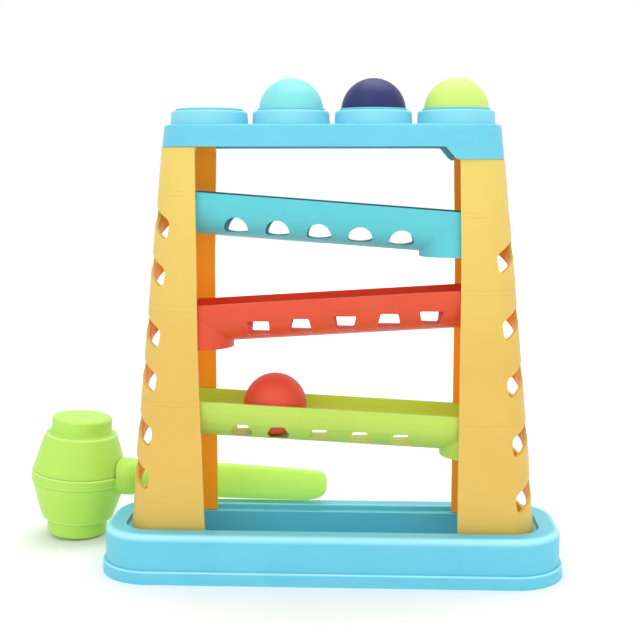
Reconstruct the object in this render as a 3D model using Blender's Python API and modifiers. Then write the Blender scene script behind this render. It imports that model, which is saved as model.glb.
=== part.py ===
"""Ball pounding tower: a tray, two side towers, a deck with four sockets, three ramps, balls, a mallet.

Metres, +Z up, the row of sockets along X. The tray stands on Z = 0 and the viewer is on the -Y side.
The balls set the sockets and ramps, the row of sockets sets the deck, and the deck sets the pillars
and the tray.
"""

import math

import bmesh
import bpy
from mathutils import Matrix, Vector

# Fits and overruns
CLEARANCE = 0.0003
OVERRUN = 0.0060
MERGE_DISTANCE = 0.000003

# Segments: a quarter turn of a small rounding, of a plan corner and of a drop tube, and full turns
ROUNDING_STEPS = 3
CORNER_STEPS = 6
TUBE_STEPS = 6
COLLAR_STEPS = 24
HEAD_STEPS = 24
BALL_SEGMENTS = 20
BALL_RINGS = 12

# Balls
BALL_RADIUS = 0.0230
RED_BALL_SHARE = -0.395

# Soft rings that grip the balls
RING_PLAY = 0.0004
RING_WALL = 0.0007
RING_EDGE = 0.0004
RING_LIP = 0.0014
RING_FLANGE = 0.0016
RING_FLANGE_REACH = 0.0027
RING_SKIRT = 0.0041
RING_BORE = BALL_RADIUS + RING_PLAY
RING_RADIUS = RING_BORE + RING_WALL
RING_FLANGE_RADIUS = RING_RADIUS + RING_FLANGE_REACH

# Collars round the rings
COLLAR_WALL = 0.0029
COLLAR_DRAFT = 0.0006
COLLAR_SKIRT_WALL = 0.0028
COLLAR_HEIGHT = 0.0101
COLLAR_DEPTH = 0.0069
COLLAR_ROUNDING = 0.0021
COLLAR_GAP = 0.00285
COLLAR_BORE = RING_RADIUS + CLEARANCE
COLLAR_HEAD_RADIUS = COLLAR_BORE + COLLAR_WALL
COLLAR_FOOT_RADIUS = COLLAR_HEAD_RADIUS + COLLAR_DRAFT
COLLAR_SKIRT_RADIUS = COLLAR_BORE + COLLAR_SKIRT_WALL
SOCKET_COUNT = 4
SOCKET_PITCH = 2 * COLLAR_FOOT_RADIUS + COLLAR_GAP
LAST_SOCKET = (SOCKET_COUNT - 1) / 2 * SOCKET_PITCH

# Heights that the pillars carry
RIM_HEIGHT = 0.0354
LEDGE_DROP = 0.0074
PILLAR_RISE = 0.2804
LEDGE_HEIGHT = RIM_HEIGHT - LEDGE_DROP
DECK_BOTTOM = LEDGE_HEIGHT + PILLAR_RISE

# Deck
DECK_MARGIN = 0.0056
DECK_HEIGHT = 0.0155
DECK_CORNER = 0.0255
DECK_WALL = 0.0024
DECK_DRAFT = 0.0018
DECK_ROUNDING = 0.0022
DECK_HALF_LENGTH = LAST_SOCKET + COLLAR_FOOT_RADIUS + DECK_MARGIN
DECK_HALF_DEPTH = COLLAR_FOOT_RADIUS + DECK_MARGIN
DECK_TOP = DECK_BOTTOM + DECK_HEIGHT
COLLAR_TOP = DECK_TOP + COLLAR_HEIGHT
COLLAR_BOTTOM = DECK_TOP - COLLAR_DEPTH

# The deeper skirt at the deck's right end, and the curve that leads down to it
EAR_DROP = 0.0086
EAR_LENGTH = 0.0347
EAR_CURVE_LENGTH = 0.0088
EAR_CURVE_SHARES = (
    (0.00, 0.00),
    (0.19, 0.09),
    (0.34, 0.30),
    (0.62, 0.63),
    (0.77, 0.83),
    (1.00, 0.95),
)
EAR_BOTTOM = DECK_BOTTOM - EAR_DROP

# Ramps: a channel with upright sides and a round bottom, and a drop tube at its low end
RAMP_PLAY = 0.0018
RAMP_WALL = 0.0022
RAMP_SIDE = 0.0022
RAMP_DEPTH = 0.0290
RAMP_TRIM = 0.0003
RAMP_SECTION_STEPS = 7
RAMP_HALF_WIDTH = BALL_RADIUS + RAMP_PLAY + RAMP_WALL
TUBE_PLAY = 0.0017
TUBE_WALL = 0.0018
TUBE_BELOW = 0.0029
TUBE_TOP_DROP = 0.0030
TUBE_BORE = BALL_RADIUS + TUBE_PLAY
TUBE_RADIUS = TUBE_BORE + TUBE_WALL

# Ramp heights at the middle of the toy, as shares of the way from the tray's ledge to the deck
UPPER_HEIGHT_SHARE = 0.86265
MIDDLE_HEIGHT_SHARE = 0.6230
LOWER_HEIGHT_SHARE = 0.33846
UPPER_SLOPE = -0.0750
MIDDLE_SLOPE = 0.0621
LOWER_SLOPE = -0.0523

# Ramp ends: each catches the ball that falls from the tube above it
UPPER_CATCH = 0.0030
UPPER_TUBE_OUT = 0.0012
MIDDLE_TUBE_OUT = 0.0105
LOWER_TUBE_OUT = 0.0178
RAMP_CATCH = 0.0077
UPPER_HIGH_X = -LAST_SOCKET - UPPER_CATCH
UPPER_LOW_X = LAST_SOCKET + UPPER_TUBE_OUT
MIDDLE_HIGH_X = UPPER_LOW_X + RAMP_CATCH
MIDDLE_LOW_X = -LAST_SOCKET - MIDDLE_TUBE_OUT
LOWER_HIGH_X = MIDDLE_LOW_X - RAMP_CATCH
LOWER_LOW_X = LAST_SOCKET + LOWER_TUBE_OUT

# Ramp windows: places as shares of the way to the right end, depths as shares of the ramp's depth
UPPER_WINDOW_SHARES = (-0.761, -0.430, -0.100, 0.229, 0.557)
UPPER_WINDOW_HALF = 0.00865
UPPER_WINDOW_HIGH_SHARE = 0.545
UPPER_WINDOW_LOW_SHARE = 0.903
UPPER_WINDOW_STEPS = 8

MIDDLE_WINDOW_SHARES = (-0.542, -0.230, 0.103, 0.432, 0.744)
MIDDLE_WINDOW_WIDE = 0.0086
MIDDLE_WINDOW_NARROW = 0.0062
MIDDLE_WINDOW_EVEN = 0.0078
MIDDLE_WINDOW_HALVES = (
    (MIDDLE_WINDOW_EVEN, MIDDLE_WINDOW_EVEN),
    (MIDDLE_WINDOW_WIDE, MIDDLE_WINDOW_NARROW),
    (MIDDLE_WINDOW_NARROW, MIDDLE_WINDOW_WIDE),
    (MIDDLE_WINDOW_WIDE, MIDDLE_WINDOW_NARROW),
    (MIDDLE_WINDOW_NARROW, MIDDLE_WINDOW_WIDE),
)
MIDDLE_WINDOW_HIGH_SHARE = 0.448
MIDDLE_WINDOW_LOW_SHARE = 0.903
MIDDLE_WINDOW_ROUNDING = 0.0012
MIDDLE_WINDOW_ROUNDING_STEPS = 1

LOWER_WINDOW_SHARES = (-0.613, -0.362, -0.079, 0.196, 0.475)
LOWER_WINDOW_HALF_TOP = 0.0052
LOWER_WINDOW_HALF_MIDDLE = 0.0081
LOWER_WINDOW_HALF_LOW = 0.0066
LOWER_WINDOW_HIGH_SHARE = 0.510
LOWER_WINDOW_MIDDLE_SHARE = 0.741
LOWER_WINDOW_LOW_SHARE = 0.897

# Pillars: the outer face is drawn in from foot to head, in shares of the rise and of the spread
PILLAR_SPREAD = 0.0272
PILLAR_DRAW_SHARES = (
    (0.000, 0.000),
    (0.080, 0.070),
    (0.218, 0.182),
    (0.454, 0.425),
    (0.689, 0.660),
    (0.861, 0.859),
    (1.000, 1.000),
)
PILLAR_CORNER = 0.0240
PILLAR_WALL = 0.0022
PILLAR_FOOT_CHAMFER = 0.0012
PILLAR_HEAD_OUTER = DECK_HALF_LENGTH - CLEARANCE
PILLAR_FOOT_OUTER = PILLAR_HEAD_OUTER + PILLAR_SPREAD
PILLAR_HALF_DEPTH = RAMP_HALF_WIDTH + RAMP_PLAY + PILLAR_WALL
SPIGOT_PLAY = 0.0010
SPIGOT_DRAW = 0.0012
SPIGOT_RISE = 0.0061
SPIGOT_INSET = DECK_WALL + SPIGOT_PLAY

# Wing edges: on the left pillar the front one is set back and the back one reaches further
WING_LENGTH = 0.0302
WING_TAPER = 0.0020
WING_TAPER_FROM_SHARE = 0.689
SET_BACK_LOW = -0.0002
SET_BACK_HIGH = 0.0034
SET_BACK_TO_SHARE = 0.464
BACK_WING_REACH = 0.0016
WING_EDGE = PILLAR_HEAD_OUTER - WING_LENGTH

# Pillar windows: a leaning four sided opening that faces half way round the corner
WINDOW_FACING = math.radians(60)
WINDOW_INNER = 0.0140
WINDOW_FOOT = 0.0120
WINDOW_OUTER = 0.0152
WINDOW_LEFT_RISE = 0.0034
WINDOW_BASE_DROP = 0.0108
WINDOW_RIGHT_RISE = 0.0042
WINDOW_TOP = 0.0197
WINDOW_ROUNDING = 0.0045
WINDOW_ROUNDING_STEPS = 3
WINDOW_LOWER_BY = 0.0010
BACK_WINDOW_LOWER_BY = 0.0075
RIGHT_WINDOW_SHARES = (0.7257, 0.5575, 0.4108, 0.2576, 0.1108)
LEFT_WINDOW_SHARES = (0.8082, 0.6882, 0.5329, 0.4183, 0.2758, 0.1612)

# Lugs on the ramps and the ribs in the pillars that carry them
LUG_LENGTH = 0.0043
LUG_HEIGHT = 0.0030
LUG_BELOW_EDGE = 0.0060
LUG_ROOT_DEPTH = 0.0020
SHELF_HEIGHT = 0.0024
SHELF_ROOT_DEPTH = 0.0008
LUG_FROM = WING_EDGE + SET_BACK_HIGH + CLEARANCE
LUG_TO = LUG_FROM + LUG_LENGTH
LUG_ROOT = RAMP_HALF_WIDTH - LUG_ROOT_DEPTH
LUG_REACH = PILLAR_HALF_DEPTH - PILLAR_WALL - CLEARANCE
SHELF_REACH = RAMP_HALF_WIDTH + CLEARANCE
SHELF_ROOT = PILLAR_HALF_DEPTH - PILLAR_WALL + SHELF_ROOT_DEPTH

# Tray: a ledge round the trough carries the pillars' feet
TRAY_WALL = 0.0022
TRAY_END_ROOM = 0.0030
TRAY_SIDE_ROOM = 0.0025
FLANGE_HEIGHT = 0.0096
FLANGE_STEP = 0.0023
RIM_WIDTH = 0.0152
RIM_ROUNDING = 0.0050
RIM_INNER_ROUNDING = 0.0012
LEDGE_BESIDE = 0.0010
TROUGH_FLOOR = 0.0080
TROUGH_CHAMFER = 0.0012
RIM_INSET = FLANGE_STEP + RIM_WIDTH
LEDGE_INSET = RIM_INSET + TRAY_END_ROOM + PILLAR_WALL + LEDGE_BESIDE
TRAY_CORNER = PILLAR_CORNER + TRAY_END_ROOM + RIM_INSET
TRAY_HALF_LENGTH = PILLAR_FOOT_OUTER + TRAY_END_ROOM + RIM_INSET
TRAY_HALF_DEPTH = PILLAR_HALF_DEPTH + TRAY_SIDE_ROOM + RIM_INSET

# Mallet head: it stands beside the tray and leans on the edge of its lower face
MALLET_BESIDE = 0.0371
MALLET_BEHIND = 0.0118
MALLET_X = -TRAY_HALF_LENGTH - MALLET_BESIDE
MALLET_Y = TRAY_HALF_DEPTH + MALLET_BEHIND
MALLET_YAW = math.radians(-6.6)
HEAD_LEAN = math.radians(4.5)
HEAD_HALF_HEIGHT = 0.0476
HEAD_WALL = 0.0024
CAP_HEIGHT = 0.0130
CAP_RADIUS = 0.0237
CAP_ROUNDING = 0.0019
CAP_INNER_STEP = 0.0027
FACE_RADIUS = CAP_RADIUS - CAP_ROUNDING
SHOULDER_HEIGHT = HEAD_HALF_HEIGHT - CAP_HEIGHT
SHOULDER_RADIUS = 0.0284
SHOULDER_ROUNDING = 0.0012
BARREL_RADIUS = 0.0366
BARREL_SHARES = (
    (0.830, 0.790),
    (0.880, 0.600),
    (0.945, 0.364),
    (1.000, 0.190),
)
BELT_PROUD = 0.0015
BELT_SEAT_DEPTH = 0.0014
BELT_HALF_HEIGHT = 0.0042
BELT_ROUNDING = 0.0008
BELT_RADIUS = BARREL_RADIUS + BELT_PROUD
BELT_SEAT_RADIUS = BARREL_RADIUS - BELT_SEAT_DEPTH

# Mallet handle: length along the axis and radius, as shares, from the neck to the rounded end
NECK_CLEAR = 0.0015
HANDLE_START = BELT_RADIUS + NECK_CLEAR
HANDLE_LENGTH = 0.1628
HANDLE_RADIUS = 0.0146
HANDLE_SHARES = (
    (0.000, 1.030),
    (0.036, 1.000),
    (0.076, 0.770),
    (0.144, 0.808),
    (0.278, 0.973),
    (0.484, 1.000),
    (0.727, 0.932),
    (0.909, 0.849),
    (0.964, 0.685),
    (0.990, 0.411),
)
HANDLE_THIN_SHARE = 0.55
HANDLE_STEPS = 20
TENON_LENGTH = 0.0102
TENON_ROOM = 0.0009
TENON_RADIUS = BELT_HALF_HEIGHT - TENON_ROOM

# The middle of the whole toy's outline lies over the world's origin
TOWER_X = (BELT_RADIUS * math.cos(HEAD_LEAN) - MALLET_X - TRAY_HALF_LENGTH) / 2
TOWER_Y = (TRAY_HALF_DEPTH - MALLET_Y - BELT_RADIUS * math.cos(MALLET_YAW)) / 2


# Scene and materials


def clear_scene():
    for obj in list(bpy.data.objects):
        bpy.data.objects.remove(obj, do_unlink=True)


def new_collection(name):
    collection = bpy.data.collections.new(name)
    bpy.context.scene.collection.children.link(collection)
    return collection


def plastic(name, colour, roughness):
    material = bpy.data.materials.new(name)
    material.use_nodes = True
    shader = material.node_tree.nodes["Principled BSDF"]
    shader.inputs["Base Color"].default_value = (*colour, 1.0)
    shader.inputs["Roughness"].default_value = roughness
    shader.inputs["Metallic"].default_value = 0.0
    material.diffuse_color = (*colour, 1.0)
    return material


def place(name, mesh, parent, material):
    obj = bpy.data.objects.new(name, mesh)
    PARTS.objects.link(obj)
    obj.parent = parent
    mesh.materials.clear()
    mesh.materials.append(material)
    return obj


def empty_at(name, location, parent=None):
    empty = bpy.data.objects.new(name, None)
    PARTS.objects.link(empty)
    empty.location = location
    empty.parent = parent
    return empty


def make_cutter(name, mesh, collection):
    cutter = bpy.data.objects.new(name, mesh)
    collection.objects.link(cutter)
    cutter.parent = TOWER
    cutter.hide_render = True
    cutter.display_type = "WIRE"
    return cutter


def cutter_group(name):
    group = bpy.data.collections.new(name)
    CUTTERS.children.link(group)
    return group


def combine(obj, group, operation):
    modifier = obj.modifiers.new(group.name, "BOOLEAN")
    modifier.operation = operation
    modifier.operand_type = "COLLECTION"
    modifier.collection = group
    modifier.solver = "EXACT"


def smooth(mesh):
    for face in mesh.polygons:
        face.use_smooth = True


# Meshes


def mesh_from(bm, name):
    mesh = bpy.data.meshes.new(name)
    bm.to_mesh(mesh)
    bm.free()
    return mesh


def arc(centre, radius, start, end, steps):
    points = []
    for i in range(steps + 1):
        angle = start + (end - start) * i / steps
        points.append((centre[0] + radius * math.cos(angle), centre[1] + radius * math.sin(angle)))
    return points


def rounded_outline(half_length, half_depth, corner):
    """A rectangle with round corners, counterclockwise seen from above."""
    points = []
    quarter = math.pi / 2
    for turn, (sx, sy) in enumerate(((1, 1), (-1, 1), (-1, -1), (1, -1))):
        centre = (sx * (half_length - corner), sy * (half_depth - corner))
        points += arc(centre, corner, turn * quarter, (turn + 1) * quarter, CORNER_STEPS)
    return points


def swept_levels(name, levels, closed, capped):
    """A sheet that starts as the first level's outline and is extruded from level to level."""
    bm = bmesh.new()
    verts = [bm.verts.new(point) for point in levels[0]]
    edges = [bm.edges.new(pair) for pair in zip(verts, verts[1:])]
    if closed:
        edges.append(bm.edges.new((verts[-1], verts[0])))
    for level in levels[1:]:
        made = bmesh.ops.extrude_edge_only(bm, edges=edges)["geom"]
        edges = [item for item in made if isinstance(item, bmesh.types.BMEdge)]
        raised = {}
        for old in verts:
            for edge in old.link_edges:
                other = edge.other_vert(old)
                if other in made:
                    raised[old] = other
        verts = [raised[old] for old in verts]
        for vert, point in zip(verts, level):
            vert.co = point
    if capped:
        bmesh.ops.contextual_create(bm, geom=edges)
    return mesh_from(bm, name)


def outline_solid(name, points, thickness, matrix):
    """A flat outline as thick as stated, its middle plane on the matrix."""
    curve = bpy.data.curves.new(name, "CURVE")
    curve.dimensions = "2D"
    curve.fill_mode = "BOTH"
    curve.extrude = thickness / 2
    spline = curve.splines.new("POLY")
    spline.points.add(len(points) - 1)
    for point, (x, y) in zip(spline.points, points):
        point.co = (x, y, 0, 1)
    spline.use_cyclic_u = True
    holder = bpy.data.objects.new(name, curve)
    mesh = bpy.data.meshes.new_from_object(holder)
    bpy.data.objects.remove(holder)
    bpy.data.curves.remove(curve)
    mesh.transform(matrix)
    bm = bmesh.new()
    bm.from_mesh(mesh)
    bmesh.ops.remove_doubles(bm, verts=bm.verts, dist=MERGE_DISTANCE)
    bmesh.ops.recalc_face_normals(bm, faces=bm.faces)
    bm.to_mesh(mesh)
    bm.free()
    return mesh


def upright(points, half_width):
    """A solid with its outline in X and Z, that far each way along Y."""
    turn = Matrix.Rotation(math.pi / 2, 4, "X")
    return outline_solid("upright", points, half_width * 2, turn)


def standing(points, bottom, top):
    """A solid with its outline in X and Y, between two heights."""
    return outline_solid("standing", points, top - bottom, Matrix.Translation((0, 0, (bottom + top) / 2)))


def turned(name, profile, steps, parent, material, closed):
    """A profile of (radius, height) points, turned about the object's Z axis."""
    bm = bmesh.new()
    verts = [bm.verts.new((radius, 0, height)) for radius, height in profile]
    pairs = list(zip(verts, verts[1:]))
    if closed:
        pairs.append((verts[-1], verts[0]))
    for pair in pairs:
        bm.edges.new(pair)
    obj = place(name, mesh_from(bm, name), parent, material)
    add_screw(obj, steps)
    return obj


def add_screw(obj, steps):
    screw = obj.modifiers.new("Turn", "SCREW")
    screw.steps = steps
    screw.render_steps = steps
    screw.use_merge_vertices = True
    screw.merge_threshold = MERGE_DISTANCE
    screw.use_smooth_shade = True


def cylinder(name, radius, bottom, top, centre, segments):
    bm = bmesh.new()
    bmesh.ops.create_cone(
        bm, cap_ends=True, segments=segments, radius1=radius, radius2=radius, depth=top - bottom
    )
    bmesh.ops.translate(bm, verts=bm.verts, vec=(centre[0], centre[1], (bottom + top) / 2))
    return mesh_from(bm, name)


def block(name, low, high):
    bm = bmesh.new()
    bmesh.ops.create_cube(bm, size=1)
    size = [b - a for a, b in zip(low, high)]
    middle = [(a + b) / 2 for a, b in zip(low, high)]
    bmesh.ops.scale(bm, verts=bm.verts, vec=size)
    bmesh.ops.translate(bm, verts=bm.verts, vec=middle)
    return mesh_from(bm, name)


def add_wall(obj, thickness):
    wall = obj.modifiers.new("Wall", "SOLIDIFY")
    wall.thickness = thickness
    wall.offset = -1
    wall.use_even_offset = True
    wall.use_quality_normals = True


def rounded(points, radius, steps):
    """The outline with each corner replaced by a short curve."""
    result = []
    for i, corner in enumerate(points):
        here = Vector(corner)
        back = (Vector(points[i - 1]) - here).normalized() * radius
        on = (Vector(points[(i + 1) % len(points)]) - here).normalized() * radius
        for k in range(steps + 1):
            t = k / steps
            spot = here + back * (1 - t) ** 2 + on * t**2
            result.append((spot.x, spot.y))
    return result


# Tray


def tray_levels():
    steps = [(0, 0), (0, FLANGE_HEIGHT), (FLANGE_STEP, FLANGE_HEIGHT)]
    centre = (FLANGE_STEP + RIM_ROUNDING, RIM_HEIGHT - RIM_ROUNDING)
    steps += arc(centre, RIM_ROUNDING, math.pi, math.pi / 2, ROUNDING_STEPS)
    steps += [
        (RIM_INSET - RIM_INNER_ROUNDING, RIM_HEIGHT),
        (RIM_INSET, RIM_HEIGHT - RIM_INNER_ROUNDING),
        (RIM_INSET, LEDGE_HEIGHT),
        (LEDGE_INSET, LEDGE_HEIGHT),
        (LEDGE_INSET, TROUGH_FLOOR + TROUGH_CHAMFER),
        (LEDGE_INSET + TROUGH_CHAMFER, TROUGH_FLOOR),
    ]
    levels = []
    for inset, height in steps:
        outline = rounded_outline(TRAY_HALF_LENGTH - inset, TRAY_HALF_DEPTH - inset, TRAY_CORNER - inset)
        levels.append([(x, y, height) for x, y in outline])
    return levels


def make_tray():
    mesh = swept_levels("base_tray", tray_levels(), closed=True, capped=True)
    face_outward(mesh)
    tray = place("base_tray", mesh, TOWER, SKY_BLUE)
    add_wall(tray, TRAY_WALL)


def face_outward(mesh):
    bm = bmesh.new()
    bm.from_mesh(mesh)
    bmesh.ops.recalc_face_normals(bm, faces=bm.faces)
    top = max(bm.faces, key=lambda face: face.calc_area())
    if top.normal.z < 0:
        bmesh.ops.reverse_faces(bm, faces=bm.faces)
    bm.to_mesh(mesh)
    bm.free()


# Pillars


def height_at(share):
    """The height at a share of the way from the tray's ledge to the deck."""
    return LEDGE_HEIGHT + PILLAR_RISE * share


def share_at(height):
    return (height - LEDGE_HEIGHT) / PILLAR_RISE


def wing_edge(height):
    share = (share_at(height) - WING_TAPER_FROM_SHARE) / (1 - WING_TAPER_FROM_SHARE)
    return WING_EDGE - WING_TAPER * min(max(share, 0), 1)


def set_back_edge(height):
    share = min(max(share_at(height) / SET_BACK_TO_SHARE, 0), 1)
    return WING_EDGE + SET_BACK_LOW + (SET_BACK_HIGH - SET_BACK_LOW) * share


def reaching_edge(height):
    return wing_edge(height) - BACK_WING_REACH


def pillar_outer(height):
    """The distance from the toy's middle to the pillar's outer face."""
    share = share_at(height)
    for (low, low_draw), (high, high_draw) in zip(PILLAR_DRAW_SHARES, PILLAR_DRAW_SHARES[1:]):
        if share <= high:
            break
    draw = low_draw + (high_draw - low_draw) * (share - low) / (high - low)
    return PILLAR_FOOT_OUTER - PILLAR_SPREAD * draw


def pillar_path(height, outer, inset, edges):
    """The wall's outline at one height, from the front wing's edge round to the back wing's."""
    half = PILLAR_HALF_DEPTH - inset
    corner = PILLAR_CORNER - inset
    end = outer - inset
    quarter = math.pi / 2
    front_edge, back_edge = edges
    points = [(front_edge(height), -half)]
    points += arc((end - corner, corner - half), corner, -quarter, 0, CORNER_STEPS)
    points += arc((end - corner, half - corner), corner, 0, quarter, CORNER_STEPS)
    points.append((back_edge(height), half))
    return [(x, y, height) for x, y in points]


def pillar_levels(shoulder, edges):
    foot = LEDGE_HEIGHT + CLEARANCE
    chamfered = foot + PILLAR_FOOT_CHAMFER
    levels = [
        pillar_path(foot, pillar_outer(foot), PILLAR_FOOT_CHAMFER, edges),
        pillar_path(chamfered, pillar_outer(foot), 0, edges),
    ]
    for share, _ in PILLAR_DRAW_SHARES[1:-1]:
        height = height_at(share)
        levels.append(pillar_path(height, pillar_outer(height), 0, edges))
    outer = pillar_outer(shoulder)
    levels.append(pillar_path(shoulder, outer, 0, edges))
    levels.append(pillar_path(shoulder, outer, SPIGOT_INSET, edges))
    spigot_outer = PILLAR_HEAD_OUTER - SPIGOT_DRAW
    levels.append(pillar_path(DECK_BOTTOM + SPIGOT_RISE, spigot_outer, SPIGOT_INSET, edges))
    return levels


def window_outline(flip):
    points = [
        (-WINDOW_INNER, WINDOW_LEFT_RISE),
        (-WINDOW_FOOT, -WINDOW_BASE_DROP),
        (WINDOW_OUTER, WINDOW_RIGHT_RISE),
        (WINDOW_OUTER, WINDOW_TOP),
    ]
    points = rounded(points, WINDOW_ROUNDING, WINDOW_ROUNDING_STEPS)
    return [(x, y * flip) for x, y in points]


def window_cutter(share, side, face, group):
    """One slanting window: side is +1 on the right pillar, face is -1 in front and +1 at the back."""
    middle = height_at(share) - (WINDOW_LOWER_BY if face < 0 else BACK_WINDOW_LOWER_BY)
    centre_x = pillar_outer(middle) - PILLAR_CORNER
    centre_y = PILLAR_HALF_DEPTH - PILLAR_CORNER
    out = Vector((math.sin(WINDOW_FACING) * side, math.cos(WINDOW_FACING) * face, 0))
    along = Vector((math.cos(WINDOW_FACING) * side, -math.sin(WINDOW_FACING) * face, 0))
    near, far = PILLAR_CORNER / 2, PILLAR_CORNER + OVERRUN
    origin = Vector((centre_x * side, centre_y * face, middle)) + out * (near + far) / 2
    matrix = Matrix((along, (0, 0, 1), out)).transposed().to_4x4()
    matrix.translation = origin
    outline = window_outline(-face)
    mesh = outline_solid("window", outline, far - near, matrix)
    make_cutter("window_cutter", mesh, group)


def shelf_blocks(side, edges, group):
    """Ribs inside the wings, a clearance under the lugs of each ramp."""
    for edge in edges:
        middle = (LUG_FROM + LUG_TO) / 2 * side
        top = edge(middle) - LUG_BELOW_EDGE - LUG_HEIGHT - CLEARANCE
        for face in (-1, 1):
            ys = sorted((SHELF_REACH * face, SHELF_ROOT * face))
            xs = sorted((LUG_FROM * side, LUG_TO * side))
            mesh = block("shelf", (xs[0], ys[0], top - SHELF_HEIGHT), (xs[1], ys[1], top))
            make_cutter("shelf_block", mesh, group)


def make_pillar(name, side, windows, shoulder, edges):
    mesh = swept_levels(name, pillar_levels(shoulder, edges), closed=False, capped=False)
    if side < 0:
        mesh.transform(Matrix.Scale(-1, 4, (1, 0, 0)))
    else:
        mesh.flip_normals()
    pillar = place(name, mesh, TOWER, YELLOW)
    add_wall(pillar, PILLAR_WALL)
    shelves = cutter_group(name + "_shelves")
    shelf_blocks(side, (upper_edge, middle_edge, lower_edge), shelves)
    combine(pillar, shelves, "UNION")
    openings = cutter_group(name + "_windows")
    for share in windows:
        window_cutter(share, side, -1, openings)
        window_cutter(share, side, 1, openings)
    combine(pillar, openings, "DIFFERENCE")


# Deck


def deck_levels():
    crown = (DECK_DRAFT + DECK_ROUNDING, DECK_TOP - DECK_ROUNDING)
    steps = [(0, EAR_BOTTOM), (0, DECK_BOTTOM)]
    steps += arc(crown, DECK_ROUNDING, math.pi, math.pi / 2, ROUNDING_STEPS)
    levels = []
    for inset, height in steps:
        outline = rounded_outline(DECK_HALF_LENGTH - inset, DECK_HALF_DEPTH - inset, DECK_CORNER - inset)
        levels.append([(x, y, height) for x, y in outline])
    return levels


def socket_x(number):
    return number * SOCKET_PITCH - LAST_SOCKET


def collar_profile():
    centre = (COLLAR_HEAD_RADIUS - COLLAR_ROUNDING, COLLAR_TOP - COLLAR_ROUNDING)
    crown = arc(centre, COLLAR_ROUNDING, 0, math.pi / 2, ROUNDING_STEPS)
    crown.reverse()
    return [
        (COLLAR_BORE, COLLAR_TOP - RING_EDGE),
        *crown,
        (COLLAR_FOOT_RADIUS, DECK_TOP - DECK_WALL / 2),
        (COLLAR_SKIRT_RADIUS, DECK_TOP - DECK_WALL / 2 - RING_EDGE),
        (COLLAR_SKIRT_RADIUS, COLLAR_BOTTOM),
        (COLLAR_BORE, COLLAR_BOTTOM),
    ]


def collar_piece(name, x, group):
    bm = bmesh.new()
    verts = [bm.verts.new((radius, 0, height)) for radius, height in collar_profile()]
    edges = [bm.edges.new(pair) for pair in zip(verts, verts[1:] + verts[:1])]
    bmesh.ops.spin(
        bm,
        geom=verts + edges,
        axis=(0, 0, 1),
        cent=(0, 0, 0),
        angle=math.tau,
        steps=COLLAR_STEPS,
        use_merge=True,
        use_duplicate=False,
    )
    bmesh.ops.remove_doubles(bm, verts=bm.verts, dist=MERGE_DISTANCE)
    bmesh.ops.recalc_face_normals(bm, faces=bm.faces)
    bmesh.ops.translate(bm, verts=bm.verts, vec=(x, 0, 0))
    make_cutter(name, mesh_from(bm, name), group)


def ear_relief():
    """Everything under the deck's skirt except the deeper skirt at the right end."""
    left = -DECK_HALF_LENGTH - OVERRUN
    low = EAR_BOTTOM - OVERRUN
    right = DECK_HALF_LENGTH - EAR_LENGTH
    start = right - EAR_CURVE_LENGTH
    curve = [(start + EAR_CURVE_LENGTH * x, DECK_BOTTOM - EAR_DROP * z) for x, z in EAR_CURVE_SHARES]
    points = [(left, low), (right, low), *reversed(curve), (left, DECK_BOTTOM)]
    return upright(points, DECK_HALF_DEPTH + OVERRUN)


def make_deck():
    mesh = swept_levels("top_deck", deck_levels(), closed=True, capped=True)
    face_outward(mesh)
    deck = place("top_deck", mesh, TOWER, SKY_BLUE)
    add_wall(deck, DECK_WALL)
    relief = cutter_group("deck_relief")
    make_cutter("ear_relief", ear_relief(), relief)
    bore = (COLLAR_BORE + COLLAR_SKIRT_RADIUS) / 2
    for number in range(SOCKET_COUNT):
        low = DECK_BOTTOM + CLEARANCE
        hole = cylinder("hole", bore, low, COLLAR_TOP, (socket_x(number), 0), COLLAR_STEPS)
        make_cutter("socket_hole", hole, relief)
    combine(deck, relief, "DIFFERENCE")
    collars = cutter_group("deck_collars")
    for number in range(SOCKET_COUNT):
        collar_piece("collar", socket_x(number), collars)
    combine(deck, collars, "UNION")


def ring_profile():
    top = COLLAR_TOP + RING_LIP
    flange_top = COLLAR_BOTTOM - CLEARANCE
    flange_bottom = flange_top - RING_FLANGE
    bottom = flange_bottom - RING_SKIRT
    return [
        (RING_BORE, top - RING_EDGE),
        (RING_BORE + RING_EDGE, top),
        (RING_RADIUS, top - RING_EDGE),
        (RING_RADIUS, flange_top),
        (RING_FLANGE_RADIUS, flange_top),
        (RING_FLANGE_RADIUS, flange_bottom),
        (RING_RADIUS, flange_bottom),
        (RING_RADIUS, bottom),
        (RING_BORE, bottom),
    ]


def make_socket_rings():
    for number in range(SOCKET_COUNT):
        name = f"socket_ring_{number + 1}"
        ring = turned(name, ring_profile(), COLLAR_STEPS, TOWER, SOFT_BLUE, closed=True)
        ring.location = (socket_x(number), 0, 0)


# Ramps


def upper_edge(x):
    return height_at(UPPER_HEIGHT_SHARE) + UPPER_SLOPE * x


def middle_edge(x):
    return height_at(MIDDLE_HEIGHT_SHARE) + MIDDLE_SLOPE * x


def lower_edge(x):
    return height_at(LOWER_HEIGHT_SHARE) + LOWER_SLOPE * x


def channel_section(half_width, side, depth, above):
    """A U in Y and Z about the ramp's top edge: upright sides, then half an ellipse."""
    points = [(-half_width, above)]
    for i in range(RAMP_SECTION_STEPS * 2 + 1):
        angle = math.pi + math.pi * i / (RAMP_SECTION_STEPS * 2)
        points.append((half_width * math.cos(angle), -side + (depth - side) * math.sin(angle)))
    points.append((half_width, above))
    return points


def channel(section, slope, edge, length):
    """The section carried along the ramp's slope, about the middle of the toy."""
    lean = math.atan(slope)
    along = Vector((math.cos(lean), 0, math.sin(lean)))
    across = Vector((0, 1, 0))
    up = Vector((-math.sin(lean), 0, math.cos(lean)))
    matrix = Matrix((across, up, along)).transposed().to_4x4()
    matrix.translation = (0, 0, edge(0))
    return outline_solid("channel", section, length, matrix)


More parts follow.
